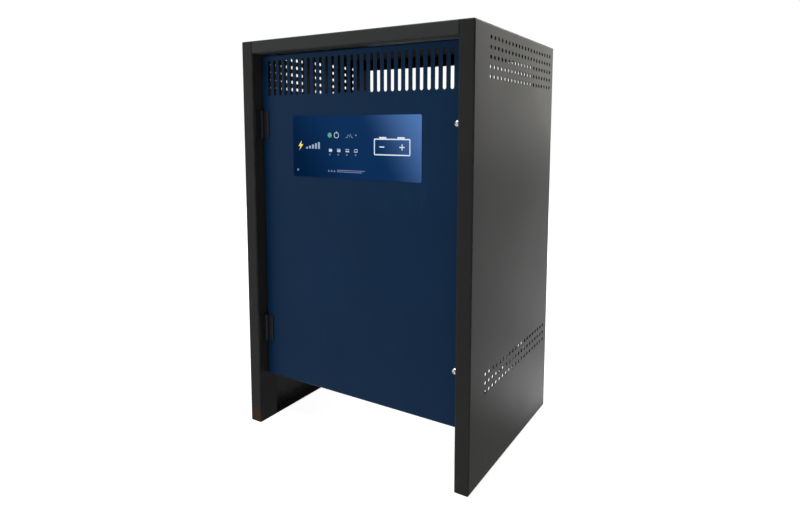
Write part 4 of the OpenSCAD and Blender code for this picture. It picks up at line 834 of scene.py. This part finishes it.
def fuse_levers(bm):
    """A lever on each pole, with grip ribs above and an indicator window below."""
    low, high = (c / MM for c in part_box("fuse_holders"))
    poles = 3
    pitch, z = (high.x - low.x) / poles, (low.z + high.z) / 2
    face, height = low.y * MM, 4.5 * MM
    for i in range(poles):
        x = low.x + (i + 0.5) * pitch
        boss(bm, x - 6, z - 16, x + 6, z + 17, 1.4, face, height, 1.3)
        for k in range(4):
            grip = z + 6 + 2 * k
            boss(bm, x - 4, grip, x + 4, grip + 1, 0.35, face - height, 0.7 * MM, 0.2)
        boss(bm, x - 2.6, z - 12, x + 2.6, z - 5, 0.8, face - height, 0.5 * MM, 0.3)


def add_device_fronts():
    for name, build, slot in (("contactor_cover", contactor_cover, "block_grey"),
                              ("contactor_slider", contactor_slider, "black_plastic"),
                              ("fuse_levers", fuse_levers, "block_grey")):
        mesh_piece(name, build, finishes[slot], "cabinet")


# Printing on the overlay: plain symbols, placed in X and Z millimetres

HAIR = 0.02  # keeps laid shapes that meet from sharing an edge
KEY_MIDDLE = -33.8, 567.6
STATE_COLUMNS, STATE_ROW = (-47.4, -28.8, -10.1, 8.2), 540.6
STATE_LEVELS = 1.0, 0.74, 0.46, 0.18
BATTERY_MIDDLE = 82.0, 548.5
WAVE = ((-13.5, 563.4), (-10.6, 563.8), (-8.4, 569.2), (-6.0, 564.2), (-3.4, 570.2), (-1.0, 564.4),
        (2.0, 563.4))
BOLT = ((-113.6, 557.6), (-122.4, 547.4), (-117.2, 547.4), (-120.0, 540.0), (-110.6, 550.8),
        (-116.0, 550.8))


def battery(bm, x, z, w, h, level, line):
    """Outline of a battery with two posts, filled up to the level."""
    lay(bm, soft_bar(x - w / 2, z - h / 2, x + w / 2, z + h / 2, 1.2 * line),
        [bar(x - w / 2 + line, z - h / 2 + line, x + w / 2 - line, z + h / 2 - line)])
    post_half, top = 0.1 * w, z + h / 2
    for post in (x - 0.25 * w, x + 0.25 * w):
        lay(bm, bar(post - post_half, top + HAIR, post + post_half, top + 1.4 * line))
    if level:
        inset = 1.7 * line
        lay(bm, bar(x - w / 2 + inset, z - h / 2 + inset, x + w / 2 - inset,
                    z - h / 2 + inset + level * (h - 2 * inset)))


def plus_minus(bm, x, z, apart, size, line):
    """A plus to the right and a minus to the left of a middle, or only a plus where they aren't apart."""
    half, thin = size / 2, line / 2
    lay(bm, bar(x + apart - half, z - thin, x + apart + half, z + thin))
    for low, high in ((thin + HAIR, half), (-half, -thin - HAIR)):
        lay(bm, bar(x + apart - thin, z + low, x + apart + thin, z + high))
    if apart:
        lay(bm, bar(x - apart - half, z - thin, x - apart + half, z + thin))


def pale_symbols(bm):
    """Key outline, battery states and the large battery."""
    x, z = KEY_MIDDLE
    lay(bm, arc(x, z, 5.4, 112, 428) + arc(x, z, 4.5, 428, 112))
    lay(bm, soft_bar(x - 0.5, z + 2.6, x + 0.5, z + 6.8, 0.45))
    for x, level in zip(STATE_COLUMNS, STATE_LEVELS):
        battery(bm, x, STATE_ROW, 7.2, 5.0, level, 0.55)
    battery(bm, *BATTERY_MIDDLE, 72.0, 28.0, 0.0, 2.0)
    plus_minus(bm, *BATTERY_MIDDLE, 20.0, 10.0, 1.8)


def fine_symbols(bm):
    """A wave with a small plus, and rising bars."""
    lay(bm, stroke(WAVE, 0.8))
    plus_minus(bm, 8.4, 567.6, 0.0, 3.6, 0.8)
    for i in range(5):
        left = -104 + 7 * i
        lay(bm, bar(left, 543.0, left + 4.4, 546.0 + 2.2 * i))


def yellow_symbol(bm):
    lay(bm, BOLT)


def dim_strip(bm):
    """Three small triangles, two lines and a square along the overlay's lower edge."""
    for i in range(3):
        left = -54 + 6.4 * i
        lay(bm, [(left, 502.8), (left + 4.4, 502.8), (left + 2.2, 506.8)])
    for z, end in ((506.2, 27), (503.4, 21)):
        lay(bm, bar(-33, z - 0.6, end, z + 0.6))
    lay(bm, soft_bar(-126, 502.0, -122, 506.0, 0.8))


def add_printing():
    for name, build, tone in (("printed_symbols", pale_symbols, srgb(200, 210, 222)),
                              ("printed_fine_symbols", fine_symbols, srgb(132, 150, 178)),
                              ("printed_bolt", yellow_symbol, srgb(240, 208, 66)),
                              ("printed_strip", dim_strip, srgb(96, 112, 146))):
        mesh_piece(name, build, print_ink(name + "_ink", tone), "door")


# Stage

# Soft lights, which the camera doesn't see: name, place, target, width and height, watts and tone
NEUTRAL, WARM = (1, 1, 1), (1.0, 0.985, 0.93)
LIGHTS = (
    ("rear_softbox", (0.8, 3.2, 1.45), (0.2, 0.0, 0.5), (2.0, 2.0), 74, WARM),
    ("overhead_softbox", (-0.5, 0.2, 3.2), (-0.5, 0.2, 0.3), (4.0, 4.0), 130, NEUTRAL),
    ("rear_left_softbox", (-2.2, 2.4, 1.3), (0, 0, 0.4), (2.0, 2.0), 20, NEUTRAL),
    ("front_left_panel", (-2.5, -2.6, 1.1), (0, 0, 0.7), (2.2, 1.0), 28, NEUTRAL),
    ("front_top_softbox", (-0.4, -0.95, 2.9), (0, -0.18, 0.5), (1.6, 1.0), 58, NEUTRAL),
    ("rear_floor_softbox", (0.5, 0.95, 1.2), (0.45, 0.9, 0.0), (0.6, 0.4), 6, NEUTRAL),
    ("low_rear_panel", (0.42, 1.2, 0.28), (0.28, 0.0, 0.3), (0.5, 0.5), 0.5, NEUTRAL),
)


def add_lights():
    for name, place, target, size, power, tone in LIGHTS:
        data = bpy.data.lights.new(name, "AREA")
        data.shape, data.size, data.size_y, data.energy, data.color = "RECTANGLE", *size, power, tone
        light = bpy.data.objects.new(name, data)
        light.location = place
        light.visible_camera = False
        light.rotation_mode = "QUATERNION"
        light.rotation_quaternion = (Vector(target) - Vector(place)).to_track_quat("-Z", "Y")
        bpy.context.scene.collection.objects.link(light)


def add_world():
    """White where the camera looks past the floor, and a weak fill elsewhere."""
    fill = 0.1
    world = bpy.data.worlds.new("studio")
    world.use_nodes = True
    bpy.context.scene.world = world
    n = Nodes(world.node_tree)
    n.tree.nodes.clear()
    seen = n.node("ShaderNodeBackground", inputs={"Color": grey(1.0), "Strength": 1.0})
    lit = n.node("ShaderNodeBackground", inputs={"Color": grey(1.0), "Strength": fill})
    camera_ray = n.node("ShaderNodeLightPath", output="Is Camera Ray")
    shown = n.node("ShaderNodeMixShader", inputs={0: camera_ray, 1: lit, 2: seen})
    out = n.tree.nodes.new("ShaderNodeOutputWorld")
    n.join(shown, out.inputs["Surface"])


def floor_finish():
    """Pale floor that glows, most where the right side of the cabinet mirrors it near its rear."""
    f = Finish("pale_floor", Roughness=0.9, Specular_IOR_Level=0.1, Emission_Strength=0.7)
    side, mirror_slope = 0.24, 2.64
    away = (f.x * f.x + f.y * f.y).ease(0.8, 3.6)
    beside = f.x.ease(side, 0.4)
    beneath = abs(f.x).ease(0.25, 0.2) * f.y.ease(0.5, 0.3)
    behind = (f.y - (f.x - side) * mirror_slope).ease(-0.05, 0.3) * f.x.ease(0.245, 0.29)
    corner = f.x.ease(side, 0.25) * f.x.ease(0.4, 0.34) * f.y.ease(0.02, 0.26) * f.y.ease(0.5, 0.4)
    glow = f.mix(beside, grey(1.0), grey(0.78))
    for share, level in ((beneath, 1.28), (behind, 3.8), (corner, 5.2), (away, 1.46)):
        glow = f.mix(share, glow, grey(level))
    f.feed(Base_Color=f.mix(f.noise(900, 2), grey(0.36), grey(0.4)), Emission_Color=glow)
    return f


def add_floor():
    reach, level = 30.0, -0.0004
    mesh = bpy.data.meshes.new("floor")
    mesh.from_pydata([(x * reach, y * reach, level) for x, y in ((-1, -1), (1, -1), (1, 1), (-1, 1))], [],
                     [(0, 1, 2, 3)])
    floor = bpy.data.objects.new("floor", mesh)
    bpy.context.scene.collection.objects.link(floor)
    mesh.materials.append(floor_finish().material)


def add_camera():
    """The photograph's view, as fitted to its corners, slots and screws."""
    azimuth, elevation, roll = (math.radians(a) for a in (31.162, 5.926, 0.185))
    back = Vector((math.sin(azimuth) * math.cos(elevation), -math.cos(azimuth) * math.cos(elevation),
                   math.sin(elevation)))
    data = bpy.data.cameras.new("photo_view")
    data.sensor_width, data.lens, data.shift_x, data.shift_y = 36.0, 26.079, -0.01409, -0.09066
    camera = bpy.data.objects.new("photo_view", data)
    camera.location = (0.60666, -0.96752, 0.57644)
    camera.rotation_mode = "QUATERNION"
    camera.rotation_quaternion = (-back).to_track_quat("-Z", "Y") @ Quaternion((0, 0, 1), roll)
    bpy.context.scene.collection.objects.link(camera)
    bpy.context.scene.camera = camera


bpy.context.scene.view_settings.view_transform = "Standard"
add_camera()
add_world()
add_floor()
add_lights()
add_windings()
add_core()
add_board_parts()
add_device_fronts()
add_printing()
